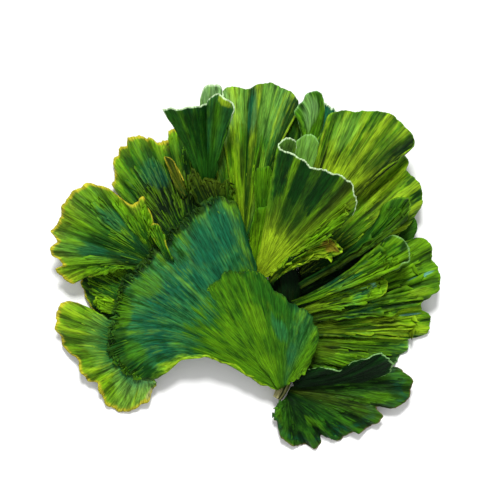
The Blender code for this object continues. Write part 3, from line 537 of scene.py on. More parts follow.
            (48.4, 6.4, 21), (52.8, 10.8, 22), (57.2, 14, 22.4), (60.4, 12.8, 22.6), (63.2, 10, 23),
            (64, 6.4, 23.6), (63.2, 2.8, 24.2), (59.2, 1.6, 24),
        ],
        ribs=18, bow=(2.4, 2.6, 1.6, 0.6), arch=(1, 2, 2), pleats=(4, 0.35), seed=30,
    ),
    Fan(
        name="right_inner_fan", root=[(16.8, -16.8, 8.9), (17.4, -18.6, 8.4)],
        rim=[
            (48, -4.4, 16.5), (52, -3.2, 16.8), (54.8, -4.4, 17), (54.8, -7.2, 17), (53.6, -9.6, 17),
            (48.8, -12, 16.4),
        ],
        ribs=12, arch=(1, 1), pleats=(3, 0.3), seed=31,
    ),
    Fan(
        name="right_rim_fan", root=[(17.3, -19.6, 7), (17.5, -22, 6.5)],
        rim=[
            (62, 10.8, 9.6), (66.4, 13.2, 9.6), (70.4, 12, 9.2), (72.8, 9.2, 9), (73.2, 4, 8.8),
            (75.2, 0.8, 8.4), (76, -3.2, 8), (75.6, -7.2, 8), (72.8, -10, 8.4), (70.8, -12, 8.8),
            (68.4, -12.8, 9), (64.4, -14, 9), (56, -16.8, 9),
        ],
        ribs=20, arch=(3, 4, 3), waves=(2, 0.3), pleats=(5, 0.55), seed=32,
    ),
    Fan(
        name="right_low_fan", root=[(17.4, -23.4, 5.2), (17.6, -26.4, 5)],
        rim=[
            (58.4, -12, 5), (64.4, -11.6, 4.4), (68.4, -12.8, 4), (68.8, -15.6, 3.4), (71.6, -18, 2),
            (72, -20.4, 0.8), (71.2, -24.4, 0.4), (69.2, -26.4, 0.6), (65.6, -27.2, 2), (61.6, -27.6, 3),
        ],
        ribs=16, arch=(3, 4, 3), pleats=(4, 0.5), seed=33,
    ),
    Fan(
        name="right_last_fan", root=[(18.8, -26.8, 3.2), (18.6, -37.4, 4.2)],
        rim=[
            (60, -26.4, 0.6), (63.6, -28.4, 0.4), (63.2, -31.6, 0.4), (60.8, -34.4, 0.6), (59.6, -36.8, 1),
            (56.8, -38.4, 1.6), (46, -40.4, 2.6), (30, -43.4, 3.4),
        ],
        ribs=16, arch=(2.5, 3.5, 2), pleats=(4, 0.5), seed=34,
    ),
    Fan(
        name="dark_blade", root=[(17.4, -43.6, 7.6), (17.6, -46.4, 7)],
        rim=[
            (23.6, -41.2, 10.4), (26.4, -39, 14), (32.4, -38.8, 17), (37.2, -39.6, 16), (40, -39.2, 16.5),
            (43.2, -36.4, 18.5), (45.6, -34.4, 20), (50, -33.6, 20), (54.4, -34, 19), (56.4, -36.8, 16.5),
            (57.2, -39.2, 13.5), (55.2, -41.2, 11),
        ],
        ribs=22, bow=(0, 0, 1, 3, 2.5, 1.5), arch=(0, 1), waves=(2, 0.3), pleats=(5, 0.3), teeth=(12, 0.6),
        seed=35,
    ),
    Fan(
        name="bottom_fan", root=[(16.6, -46.8, 3.9), (14.1, -51.8, 3.8)],
        rim=[
            (55.2, -38.8, 6.6), (57.6, -38.8, 6.4), (61.6, -40.4, 6), (64.4, -43.2, 5.4), (65.2, -46, 5),
            (63.2, -51.6, 4.4), (59.2, -54.4, 4), (55.6, -55.2, 4), (51.6, -54.8, 4.6), (53.6, -58.4, 3),
            (50.4, -62, 2), (46.8, -64, 1.4), (41.2, -64.8, 1), (37.6, -67.2, 0.7), (33.6, -68.7, 0.7),
            (28.8, -67.6, 1.4), (29.2, -69.9, 0.5), (26.8, -71.9, 0.4), (23.4, -71.4, 0.5),
            (18.4, -69.9, 1), (14.2, -66.8, 1.8), (11.6, -64, 2.6), (10.4, -60.6, 3.4), (9.8, -57.6, 3.8),
            (10, -54, 4.2),
        ],
        ribs=30, bow=(-1.6, 0, 0), arch=(2, 3, 2.5), waves=(3, 0.4), pleats=(8, 0.6), teeth=(11, 0.5),
        seed=36,
    ),
]

# The stalk's path from its stub: a point, half the width and half the height
STALK_PATH = [
    (10.8, -51.6, 5, 1.6, 1.6), (12, -49.4, 4.9, 2.4, 2.4), (13.6, -45.2, 4.2, 2.8, 2.8),
    (14.4, -39, 3, 3, 3), (14.8, -31, 2.3, 3, 3), (15, -23, 2.6, 3, 3),
    (15.2, -17, 4.6, 3.4, 3), (14, -11, 6.8, 5.3, 2.8), (13.8, -5, 8.4, 6, 2.4),
    (12.6, 1, 9.8, 5.6, 2.1), (10.6, 5.2, 10.3, 4, 1.8), (7, 7.6, 10.8, 2.2, 1.7),
    (3, 9.2, 11.2, 1.5, 1.5), (-1.6, 10.8, 11.6, 1.2, 1.2),
]

# Along ramps that begin in INK or DEEP darken a blade towards its root: partly its own colour and partly
# painted shade of the crevice where it tucks under its neighbours
LOOKS = {
    "main_fan": Look(
        along=((0, GRASS), (0.4, GRASS), (0.52, LEAF), (0.62, SEA), (0.8, TEAL), (0.92, SEA), (1, FOREST)),
        across=(
            (0, SUN_LIME, 0.9), (0.012, LIME, 0.7), (0.03, TEAL, 0), (0.6, GRASS, 0), (0.8, SEA, 0.2),
            (1, DEEP, 0.6),
        ),
        # The DEEP and INK bands along the rim are painted shade of the crease where the neighbouring fans
        # tuck under it
        patches=(
            (0.17, 0.96, 0.2, 0.05, DEEP, 0.8), (0.45, 0.9, 0.08, 0.08, GRASS, 0.6),
            (0.1, 0.9, 0.06, 0.05, LEAF, 0.8), (0.28, 0.95, 0.06, 0.04, GRASS, 0.7),
            (0.88, 0.5, 0.14, 0.14, GRASS, 0.6), (0.65, 0.99, 0.4, 0.03, INK, 0.8),
            (0.72, 0.72, 0.1, 0.1, TEAL, 0.6), (0.84, 0.84, 0.14, 0.12, TEAL, 0.7),
        ),
        rim=(DEEP, 0.5, 0), dark=DEEP, contrast=(0.85, 0.35), folds=(3.6, 0.35, 15), frill=(1.2, 0.8),
        side_fade=0,
        flakes=(
            (130, 0.02, 0.36, 0.86, 0.99, 3), (120, 0.3, 0.9, 0.9, 0.99, 3),
            (30, 0.85, 0.99, 0.8, 0.98, 1.5),
        ),
    ),
    "inner_fan": Look(
        along=((0, GRASS), (0.35, GRASS), (0.7, LEAF), (0.92, LEAF), (1, FOREST)),
        across=(
            (0, GRASS, 0.6), (0.06, GRASS, 0.5), (0.2, GRASS, 0.3), (0.34, FOREST, 0.45),
            (0.5, FOREST, 0.55), (0.72, TEAL, 0.5), (0.84, GRASS, 0.5), (1, LIME, 0.6),
        ),
        patches=(
            (0.5, 0.6, 0.1, 0.12, SEA, 0.7), (0.66, 0.4, 0.07, 0.16, TEAL, 0.5),
            (0.2, 0.2, 0.2, 0.1, LIME, 0.3), (0.46, 0.86, 0.2, 0.1, FOREST, 0.8),
            (0.26, 0.6, 0.1, 0.14, LIME, 0.4),
        ),
        rim=(DEEP, 0.6, 0.5), dark=DEEP, contrast=(0.75, 0.3), folds=(3.6, 0.3, 15), frill=(0.5, 1.1),
        side_drop=3, flakes=((40, 0, 0.4, 0.86, 0.97, 1.3),),
    ),
    "lower_left_fan": Look(
        along=((0, FOREST), (0.2, SEA), (0.45, FERN), (0.68, LIME), (0.84, LIME), (1, SUN_LIME)),
        across=(
            (0, MINT, 0.35), (0.2, MINT, 0.2), (0.4, FOREST, 0), (0.55, FOREST, 0.5), (0.75, FOREST, 0.4),
            (1, GRASS, 0.2),
        ),
        patches=((0.06, 0.8, 0.03, 0.2, BEIGE, 0.7),), rim=(OCHRE, 1.3, 0.8), light=SUN_LIME,
        contrast=(0.6, 0.4), folds=(4, 0.8, 15), frill=(0.9, 0.6),
        flakes=((40, 0.3, 0.95, 0.02, 0.5, 1.2),),
    ),
    "left_back_fan": Look(
        along=((0, LEAF), (0.3, FOREST), (0.8, DEEP), (0.95, DEEP), (1, GRASS)),
        patches=((0.85, 0.6, 0.15, 0.3, LIME, 0.6),), rim=(OCHRE, 0.8, 0.7), contrast=(0.8, 0.4),
        folds=(3, 0.7, 15), frill=(0.8, 0.6), flakes=((70, 0.3, 0.98, 0, 0.6, 2.6),),
    ),
    "left_frill": Look(
        along=((0, LEAF), (0.6, LIME), (1, LIME)), rim=(SUN_LIME, 0.8, 0.6), folds=(2, 1.2, 8),
        frill=(0.9, 0.9), flakes=((30, 0, 1, 0, 0.8, 2.2),),
    ),
    "middle_left_fan": Look(
        along=(
            (0, INK), (0.26, DEEP), (0.5, FOREST), (0.68, GRASS), (0.82, LIME), (0.93, ACID),
            (1, SUN_LIME),
        ),
        across=(
            (0, LIME, 0.3), (0.1, LEAF, 0.1), (0.35, SEA, 0.5), (0.5, FOREST, 0.3), (0.66, SEA, 0.4),
            (0.8, LEAF, 0.3), (1, GRASS, 0.4),
        ),
        patches=(
            (0.42, 0.5, 0.1, 0.2, DEEP, 0.8), (0.25, 0.3, 0.1, 0.15, INK, 0.6),
            (0.66, 0.56, 0.06, 0.16, TEAL, 0.6), (0.34, 0.6, 0.06, 0.16, TEAL, 0.6),
        ),
        rim=(OCHRE, 1.3, 0.8), contrast=(0.7, 0.4), shade=0.75, folds=(4.2, 1, 15), frill=(0.7, 0.5),
        flakes=(
            (30, 0.02, 0.3, 0.1, 0.5, 2.4), (46, 0.6, 0.98, 0.05, 0.6, 3), (40, 0.1, 0.9, 0, 0.25, 2.4),
        ),
    ),
    "small_left_fan": Look(
        along=((0, DEEP), (0.5, FOREST), (1, LEAF)), rim=(OCHRE, 0.6, 0.5), folds=(1.8, 1, 12),
        flakes=((26, 0.1, 0.9, 0, 0.8, 2.4),),
    ),
    "upper_left_fan": Look(
        along=(
            (0, DEEP), (0.25, INK), (0.5, INK), (0.68, FOREST), (0.82, LEAF), (0.93, LIME), (1, SUN_LIME),
        ),
        across=((0, GRASS, 0.5), (0.16, DEEP, 0), (0.7, DEEP, 0), (0.82, DEEP, 0.7), (1, INK, 0.8)),
        patches=((0.4, 0.6, 0.12, 0.16, TEAL, 0.5),), rim=(OCHRE, 1.3, 0.8), contrast=(0.75, 0.4),
        shade=0.75, ridge_highlight=0.35, folds=(3.4, 1, 15), frill=(1.1, 0.9),
        flakes=((90, 0.02, 0.98, 0, 0.5, 2.6), (30, 0.55, 0.98, 0.3, 0.8, 2)),
    ),
    "yellow_fold": Look(
        along=((0, DEEP), (0.5, OLIVE), (1, OLIVE)), rim=(OCHRE, 0.4, 0.6), light=OCHRE,
        contrast=(0.8, 0.3),
    ),
    "olive_fan": Look(
        along=((0, INK), (0.4, INK), (1, OLIVE)), across=((0, DEEP, 0.5), (0.5, DEEP, 0.1), (1, LEAF, 0.7)),
        rim=(OLIVE, 0.6, 0.7), ridge_highlight=0.55, light=DULL_OLIVE, frill=(1.2, 1), folds=(2.6, 0.8, 15),
        flakes=((70, 0.02, 0.98, 0, 0.75, 3),),
    ),
    # The dark first half across is partly its own colour and partly painted shade of the half turned away
    # from the light; the pale rim is partly its own colour and partly a painted highlight
    "folded_fan": Look(
        along=((0, DEEP), (0.4, FOREST), (0.9, FOREST), (1, SEA)),
        across=(
            (0, FOREST, 0.6), (0.3, DEEP, 0.8), (0.45, DEEP, 0.8), (0.58, TEAL, 0.6), (0.72, GRASS, 0.4),
            (0.9, SEA, 0.4), (1, LEAF, 0.4),
        ),
        across_from=0.35, patches=((0.8, 0.97, 0.09, 0.05, SUN_LIME, 0.8),), rim=(PALE_MINT, 0.45, 0.85),
        light=GRASS, contrast=(0.5, 0.25), shade=0.35, folds=(3.6, 0.4, 15), frill=(0.5, 0.5),
    ),
    "folded_back_lobe": Look(
        along=((0, LEAF), (0.6, FERN), (0.8, MINT), (1, MINT)), rim=(PALE_MINT, 0.8, 0.8), dark=DEEP,
        contrast=(0.6, 0.3),
    ),
    "top_fan": Look(
        along=(
            (0, FOREST), (0.2, ACID), (0.45, LIME), (0.58, GRASS), (0.66, LEAF), (0.74, FERN), (0.9, FERN),
            (1, FERN),
        ),
        across=(
            (0, DEEP, 0.9), (0.12, DEEP, 0.6), (0.2, LIME, 0.1), (0.44, LIME, 0.1), (0.49, DEEP, 0.9),
            (0.56, DEEP, 0.9), (0.62, GRASS, 0.1), (0.74, SEA, 0.3), (0.84, DEEP, 0.9), (1, DEEP, 0.8),
        ),
        patches=(
            (0.27, 0.88, 0.1, 0.18, MINT, 0.5), (0.42, 0.5, 0.03, 0.16, INK, 0.8),
            (0.66, 0.45, 0.03, 0.16, INK, 0.8), (0.52, 0.82, 0.045, 0.16, TEAL, 0.7),
        ),
        rim=(LIME, 0.5, 0.3), dark=DEEP, light=SUN_LIME, contrast=(0.7, 0.3), shade=0.6,
        folds=(4, 0.55, 15), frill=(0.4, 0.35), flakes=((24, 0.1, 0.9, 0.1, 0.5, 1.2),),
    ),
    "slim_fan": Look(
        along=((0, DEEP), (0.4, LEAF), (1, GRASS)), rim=(GRASS, 0.5, 0.6), folds=(2.4, 0.3, 15),
    ),
    "sliver_fan": Look(
        along=((0, INK), (1, LEAF)), rim=(LEAF, 0.5, 0.6),
    ),
    "strip_fan": Look(
        along=((0, INK), (0.8, DEEP), (1, LEAF)), rim=(MINT, 0.5, 0.7),
    ),
    "rolled_fan": Look(
        along=((0, INK), (0.6, LEAF), (0.85, GRASS), (1, LEAF)),
        across=((0, DEEP, 0.8), (0.3, GRASS, 0.1), (0.7, LEAF, 0.3), (1, DEEP, 0.8)),
        patches=((0.5, 0.9, 0.2, 0.1, MINT, 0.4),), rim=(MINT, 0.4, 0.6), contrast=(0.7, 0.4),
    ),
    "teal_strip": Look(
        along=((0, INK), (0.8, TEAL), (1, TEAL)), rim=(PALE_MINT, 0.8, 0.85), light=SEA, frill=(0.9, 0.8),
    ),
    # The dark face under the curled rim is painted shade, the pale strip along the rolled first side is a
    # painted highlight, and the pale rim is partly its own colour and partly a painted highlight where the
    # edge faces the light
    "cupped_fan": Look(
        along=(
            (0, SUN_LIME), (0.3, SUN_LIME), (0.45, ACID), (0.6, LIME), (0.7, FOREST), (0.8, DEEP),
            (1, DEEP),
        ),
        across=(
            (0, FERN, 0.7), (0.12, FERN, 0.7), (0.18, FOREST, 0.6), (0.24, DEEP, 0.7), (0.34, DEEP, 0.8),
            (0.52, DEEP, 0.6), (0.6, OLIVE, 0.7), (0.68, ACID, 0.85), (0.76, GRASS, 0.7),
            (0.82, INK, 0.85), (1, INK, 0.85),
        ),
        across_from=0.38,
        patches=(
            (0.43, 0.86, 0.12, 0.2, DEEP, 0.7), (0.46, 0.5, 0.05, 0.14, DEEP, 0.7),
            (0.7, 0.9, 0.05, 0.1, ACID, 0.6), (0.36, 0.7, 0.08, 0.3, DEEP, 0.6),
        ),
        rim=(PALE_MINT, 0.45, 0.85), rim_span=(0, 0.8), contrast=(0.6, 0.15), shade=0.45, ridge_highlight=0.6,
        folds=(4.4, 0.5, 15), frill=(0.9, 0.8),
        flakes=((90, 0.66, 1, 0.15, 0.75, 3.2), (16, 0, 0.6, 0.2, 0.6, 0.7)),
    ),
    "cup_lobe": Look(
        along=((0, DEEP), (0.45, LEAF), (0.6, FERN), (1, FERN)), rim=(MINT, 0.5, 0.6), light=MINT,
        contrast=(0.3, 0.25), shade=0.3,
    ),
    "cup_flange": Look(
        along=((0, GRASS), (0.4, LIME), (1, GRASS)), rim=(LEAF, 0.5, 0.5),
    ),
    "cup_ruffle": Look(
        along=((0, INK), (0.3, LEAF), (0.6, GRASS), (1, LEAF)),
        across=((0, OLIVE, 0.5), (0.4, GRASS, 0.1), (1, INK, 0.5)),
        patches=((0.3, 0.88, 0.16, 0.1, RUST, 0.7),), rim=(SUN_LIME, 0.6, 0.5), light=SUN_LIME, shade=1,
        ridge_highlight=0.8, contrast=(0.8, 0.4), folds=(2.4, 1.9, 14), frill=(0.8, 0.8),
        flakes=((60, 0.05, 0.98, 0.1, 0.85, 3),),
    ),
    "right_top_fan": Look(
        along=((0, LEAF), (0.3, LIME), (0.5, SUN_LIME), (0.68, ACID), (0.85, GRASS), (1, LEAF)),
        across=(
            (0, FOREST, 0.6), (0.12, ACID, 0.1), (0.45, ACID, 0), (0.56, OLIVE, 0.5), (0.66, ACID, 0.2),
            (0.76, OLIVE, 0.5), (0.84, INK, 0.9), (1, INK, 0.9),
        ),
        patches=(
            (0.17, 0.62, 0.02, 0.14, INK, 0.9), (0.12, 0.45, 0.1, 0.15, DEEP, 0.5),
            (0.28, 0.86, 0.12, 0.12, FERN, 0.5), (0.72, 0.8, 0.06, 0.16, DEEP, 0.6),
        ),
        rim=(LIME, 0.5, 0.4), light=SUN_LIME, contrast=(0.7, 0.35), shade=0.5, folds=(4.2, 0.5, 15),
        frill=(0.4, 0.35), flakes=((24, 0.1, 0.95, 0.3, 0.7, 1),),
    ),
    "right_upper_fan": Look(
        along=((0, INK), (0.35, DEEP), (0.55, GRASS), (0.72, ACID), (0.9, LIME), (1, LEAF)),
        across=((0, LIME, 0.4), (0.3, LIME, 0.3), (0.5, FOREST, 0.3), (0.7, DEEP, 0.5), (1, DEEP, 0.5)),
        across_from=0.4,
        patches=(
            (0.35, 0.6, 0.03, 0.2, INK, 0.8), (0.6, 0.75, 0.05, 0.16, DEEP, 0.8),
            (0.76, 0.5, 0.05, 0.2, INK, 0.8),
        ),
        rim=(LIME, 0.5, 0.4), light=SUN_LIME, shade=0.5, folds=(3.6, 0.9, 15), frill=(0.6, 0.5),
        flakes=((30, 0.1, 0.95, 0.4, 0.8, 1.6),),
    ),
    # The dark first part across is partly its own colour and partly painted shade of the side turned away
    # from the light
    "right_folded_fan": Look(
        along=((0, INK), (0.5, INK), (0.72, FOREST), (0.92, LEAF), (1, LEAF)),
        across=((0, DEEP, 0.7), (0.4, DEEP, 0.3), (0.7, OLIVE, 0.5), (1, OLIVE, 0.5)), rim=(LIME, 0.5, 0.5),
        light=GRASS, contrast=(0.8, 0.4), folds=CRUMPLED, flakes=((24, 0.1, 0.9, 0.3, 0.8, 2.6),),
    ),
    # A back blade in the cavity under the right-hand fans, near-black up to its rim: painted shade of that
    # cavity
    "right_back_fan": Look(
        along=((0, INK), (0.7, INK), (1, LEAF)), rim=(LEAF, 0.5, 0.6), light=LEAF,
    ),
    "right_mid_fan": Look(
        along=((0, DEEP), (0.25, LEAF), (0.4, TEAL), (0.6, LEAF), (0.85, LEAF), (1, DEEP)),
        across=((0, INK, 0.7), (0.3, DEEP, 0.4), (0.5, LEAF, 0.2), (0.75, LIME, 0.6), (1, LIME, 0.5)),
        patches=(
            (0.3, 0.32, 0.05, 0.2, INK, 0.9), (0.68, 0.55, 0.04, 0.2, INK, 0.8),
            (0.55, 0.5, 0.05, 0.12, TEAL, 0.7), (0.36, 0.55, 0.05, 0.14, SUN_LIME, 0.6),
            (0.85, 0.3, 0.06, 0.16, SUN_LIME, 0.6),
        ),
        rim=(MINT, 0.5, 0.6), rim_span=(0.2, 1), contrast=(0.85, 0.45), folds=CRUMPLED,
        flakes=((12, 0.1, 0.9, 0.15, 0.6, 4.8), (30, 0.1, 0.95, 0.1, 0.75, 2.4)),
    ),
    "right_inner_fan": Look(
        along=((0, DEEP), (0.25, ACID), (0.5, LIME), (0.62, SEA), (0.8, LIME), (1, LIME)),
        across=((0, INK, 0.6), (0.25, LEAF, 0.1), (1, GRASS, 0.3)),
        patches=(
            (0.3, 0.85, 0.12, 0.05, SKY, 0.6), (0.2, 0.45, 0.06, 0.2, INK, 0.8),
            (0.72, 0.4, 0.06, 0.2, INK, 0.9), (0.5, 0.45, 0.06, 0.14, SUN_LIME, 0.6),
            (0.55, 0.72, 0.08, 0.08, TEAL, 0.8),
        ),
        rim=(SUN_LIME, 0.6, 0.5), contrast=(0.85, 0.45), folds=CRUMPLED,
        flakes=((10, 0.1, 0.9, 0.15, 0.6, 4.2), (24, 0.1, 0.95, 0.1, 0.8, 2.4)),
    ),
    "right_rim_fan": Look(
        along=((0, INK), (0.3, OLIVE), (0.42, DEEP), (0.52, TEAL), (0.66, LEAF), (0.85, GRASS), (1, GRASS)),
        across=((0, FOREST, 0.4), (0.2, LIME, 0.3), (0.5, GRASS, 0.2), (0.75, DEEP, 0.5), (1, DEEP, 0.6)),
        patches=(
            (0.5, 0.88, 0.018, 0.09, SKY, 0.9), (0.25, 0.5, 0.035, 0.2, INK, 0.8),
            (0.58, 0.55, 0.04, 0.2, INK, 0.9), (0.84, 0.78, 0.04, 0.14, INK, 0.8),
            (0.7, 0.85, 0.06, 0.1, ACID, 0.6), (0.4, 0.8, 0.06, 0.1, LIME, 0.5),
        ),
        rim=(LIME, 0.6, 0.6), contrast=(0.8, 0.45), folds=CRUMPLED, frill=(0.5, 0.5),
        flakes=((14, 0.05, 0.95, 0.3, 0.7, 4.6), (34, 0.1, 0.95, 0.35, 0.8, 2.4)),
    ),
    "right_low_fan": Look(
        along=((0, DEEP), (0.3, OLIVE), (0.5, LEAF), (0.68, ACID), (0.85, LIME), (1, LEAF)),
        across=((0, DEEP, 0.6), (0.3, LIME, 0.2), (0.6, GRASS, 0.2), (0.85, FOREST, 0.5), (1, FOREST, 0.6)),
        patches=(
            (0.4, 0.88, 0.03, 0.08, SKY, 0.8), (0.25, 0.45, 0.05, 0.2, INK, 0.8),
            (0.62, 0.55, 0.05, 0.2, INK, 0.8), (0.82, 0.78, 0.06, 0.12, DEEP, 0.8),
        ),
        rim=(LIME, 0.6, 0.5), light=SUN_LIME, contrast=(0.8, 0.4), folds=CRUMPLED, frill=(0.5, 0.5),
        flakes=((10, 0.1, 0.9, 0.3, 0.7, 4.2), (30, 0.1, 0.95, 0.3, 0.8, 2.4)),
    ),
    "right_last_fan": Look(
        along=((0, FOREST), (0.35, OLIVE), (0.55, GRASS), (0.8, LEAF), (1, SEA)),
        across=((0, LEAF, 0.2), (0.3, OLIVE, 0.4), (0.6, LEAF, 0.3), (1, DEEP, 0.6)),
        patches=((0.3, 0.45, 0.06, 0.2, INK, 0.8), (0.7, 0.62, 0.06, 0.18, INK, 0.8)), rim=(MINT, 0.5, 0.5),
        contrast=(0.75, 0.4), folds=CRUMPLED, frill=(0.6, 0.5), flakes=((34, 0.1, 0.95, 0.3, 0.8, 2.6),),
    ),
    # Its near-black face is painted shade: the face is turned away from the light
    "dark_blade": Look(
        along=((0, INK), (0.7, INK), (0.9, INK), (1, DEEP)), rim=(MINT, 0.5, 0.8), light=DEEP,
        contrast=(0.6, 0.5), folds=(3, 0.6, 15), frill=(0.9, 0.8),
    ),
    "bottom_fan": Look(
        along=((0, INK), (0.4, DEEP), (0.65, FOREST), (0.8, DEEP), (0.93, TEAL), (1, LEAF)),
        across=(
            (0, OLIVE, 0.5), (0.15, BARK, 0.3), (0.3, OLIVE, 0.6), (0.5, DEEP, 0.3), (0.7, INK, 0.5),
            (1, LEAF, 0.4),
        ),
        patches=(
            (0.22, 0.75, 0.05, 0.14, GRASS, 0.6), (0.62, 0.6, 0.05, 0.14, GRASS, 0.5),
            (0.93, 0.7, 0.05, 0.2, GRASS, 0.5),
        ),
        rim=(BLUSH, 0.4, 0.4), light=LEAF, contrast=(0.85, 0.5), folds=(3.4, 1.2, 10), frill=(0.9, 0.7),
        flakes=((80, 0.05, 0.98, 0.2, 0.8, 2.2),),
    ),
    # Near-black past its beige and olive stub: painted shade of the cavity under the blades
    "stipe": Look(
        along=((0, BEIGE), (0.14, OLIVE), (0.26, INK), (1, INK)), rim=(BARK, 0.1, 0), light=BARK,
        contrast=(0.6, 0.4),
    ),
}


def curve_through(points, samples=CURVE_SAMPLES):
    """Sample a smooth curve that passes through the points, evenly by chord length."""
    knots = np.array(points, dtype=float)
    spans = np.linalg.norm(np.diff(knots, axis=0), axis=1)
    places = np.concatenate(([0.0], np.cumsum(spans)))
    slopes = np.gradient(knots, places, axis=0)
    wanted = np.linspace(0.0, places[-1], samples)
    first = np.clip(np.searchsorted(places, wanted, side="right") - 1, 0, len(spans) - 1)
    span = spans[first][:, None]
    share = ((wanted - places[first]) / spans[first])[:, None]
    cubic = share ** 3
    square = share ** 2
    start_part = (2 * cubic - 3 * square + 1) * knots[first]
    start_bend = (cubic - 2 * square + share) * span * slopes[first]
    end_part = (3 * square - 2 * cubic) * knots[first + 1]
    end_bend = (cubic - square) * span * slopes[first + 1]
    return start_part + start_bend + end_part + end_bend


def even_places(root, rim, count):
    """Choose places from 0 to 1 along the curves that space the ribs evenly across the blade."""
    rib = (rim - root)[:, :2]
    rib_direction = rib / np.linalg.norm(rib, axis=1)[:, None]
    move = np.diff(rim, axis=0)
    along = np.abs(np.sum(move[:, :2] * rib_direction[:-1], axis=1))
    length = np.linalg.norm(move, axis=1)
    across = np.sqrt(np.maximum(length ** 2 - along ** 2, 0.0))
    progress = np.concatenate(([0.0], np.cumsum(across + SLIDE_SHARE * along)))
    wanted = np.linspace(0.0, progress[-1], count + 1)
    return np.interp(wanted, progress, np.linspace(0.0, 1.0, len(rim)))


def at_places(samples, places):
    """Read a sampled curve, or a short list of values, at places from 0 to 1."""
    values = np.array(samples, dtype=float)
    stops = np.linspace(0.0, 1.0, len(values))
    if values.ndim == 1:
        return np.interp(places, stops, values)
    return np.stack([np.interp(places, stops, values[:, axis]) for axis in range(3)], axis=1)


def unit(vectors):
    """Scale vectors to a length of 1."""
    return vectors / np.maximum(np.linalg.norm(vectors, axis=-1, keepdims=True), 1e-9)


def grid_normals(points):
    """Normals of a grid of points, which point up on a level blade."""
    return unit(np.cross(np.gradient(points, axis=0), np.gradient(points, axis=1)))


def moving_mean(values, reach):
    """Average a grid of vectors with its neighbours across the ribs."""
    padded = np.pad(values, ((reach, reach), (0, 0), (0, 0)), mode="edge")
    sums = np.cumsum(np.concatenate((np.zeros_like(padded[:1]), padded)), axis=0)
    width = 2 * reach + 1
    return (sums[width:] - sums[:-width]) / width


def evened(normals, reach, rounds):
    """Even out a grid of normals across the ribs."""
    for _ in range(rounds):
        normals = moving_mean(normals, reach)
    return unit(normals)


def keep_apart(points, finer):
    """Move ribs sideways, from the middle rib outwards, so that none crosses the rib beside it."""
    middle = len(points) // 2
    reach = np.linspace(0.0, 1.0, points.shape[1])
    least = (LEAST_ROOT_GAP + (LEAST_RIM_GAP - LEAST_ROOT_GAP) * reach) / finer
    for step in (-1, 1):
        end = len(points) if step == 1 else -1
        for column in range(middle + step, end, step):
            rib = points[column]
            beside = points[column - step]
            ahead = unit((rib[-1] - rib[0])[:2])
            outward = step * np.array((ahead[1], -ahead[0]))
            limit = np.interp(rib[:, :2] @ ahead, beside[:, :2] @ ahead, beside[:, :2] @ outward) + least
            short = np.maximum(limit - rib[:, :2] @ outward, 0.0)
            rib[:, :2] += short[:, None] * outward
    return points


def drift(places, seed):
    """A smooth irregular value between about -1 and 1, the same for the same seed."""
    phases = np.random.default_rng(seed).uniform(0.0, 2 * math.pi, len(DRIFT_PARTS))
    return sum(
        share * np.sin(2 * math.pi * count * places + phase)
        for (count, share), phase in zip(DRIFT_PARTS, phases)
    )


def bend_shape(reach, lateness):
    """Rise from 0 at the root to 1 and back to 0 at the rim; a higher lateness peaks nearer the rim."""
    peak = lateness / (lateness + 1.0)
    return reach ** lateness * (1.0 - reach) / (peak ** lateness * (1.0 - peak))


def relief(fan, places, reach):
    """Height of the waves, pleats and creases of the CAD node, along the blade's normal."""
    wander = drift(places, fan.seed)
    wave_count, wave_height = fan.waves
    wave = wave_height * np.sin(2 * math.pi * wave_count * places + fan.seed + WAVE_STRETCH * wander)
    pleat_count, pleat_height = fan.pleats
    pleat = pleat_height * np.sin(2 * math.pi * pleat_count * places + 2 * fan.seed + PLEAT_DRIFT * wander)
    lift = wave * reach ** WAVE_GROWTH + pleat * reach ** PLEAT_GROWTH
    for place, width, depth in fan.creases:
        lift = lift - depth * np.exp(-((places - place) / width) ** 2) * reach ** CREASE_GROWTH
    return lift


def spline_weights(where):
    """The whole part of each place, and the weights of its four neighbours on a cubic spline."""
    share = where - np.floor(where)
    rest = 1.0 - share
    return np.floor(where).astype(int), (
        rest ** 3 / 6.0,
        (3 * share ** 3 - 6 * share ** 2 + 4) / 6.0,
        (3 * rest ** 3 - 6 * rest ** 2 + 4) / 6.0,
        share ** 3 / 6.0,
    )


def smooth_noise(dice, across, along, columns, rows):
    """A smooth random grid: about so many bumps across and along, with values between about -1 and 1."""
    bumps = (max(int(across), 1) + NOISE_MARGIN, max(int(along), 1) + NOISE_MARGIN)
    coarse = dice.normal(0.0, NOISE_SPREAD, bumps)
    first_column, column_weights = spline_weights(np.linspace(1.0, coarse.shape[0] - NOISE_END, columns))
    first_row, row_weights = spline_weights(np.linspace(1.0, coarse.shape[1] - NOISE_END, rows))
    wide = sum(w[:, None] * coarse[first_column + k - 1] for k, w in enumerate(column_weights))
    return NOISE_GAIN * sum(w[None, :] * wide[:, first_row + k - 1] for k, w in enumerate(row_weights))


def ridged(values):
    """Turn smooth noise into sharp ridges between round valleys."""
    return 1.0 - 2.0 * np.abs(values)


def blade_spans(fan):
    """Length of a blade's rim and of its longest rib."""
    rim_curve = curve_through(fan.rim)
    rim_length = np.linalg.norm(np.diff(rim_curve, axis=0), axis=1).sum()
    return rim_length, np.linalg.norm(rim_curve - curve_through(fan.root), axis=1).max()


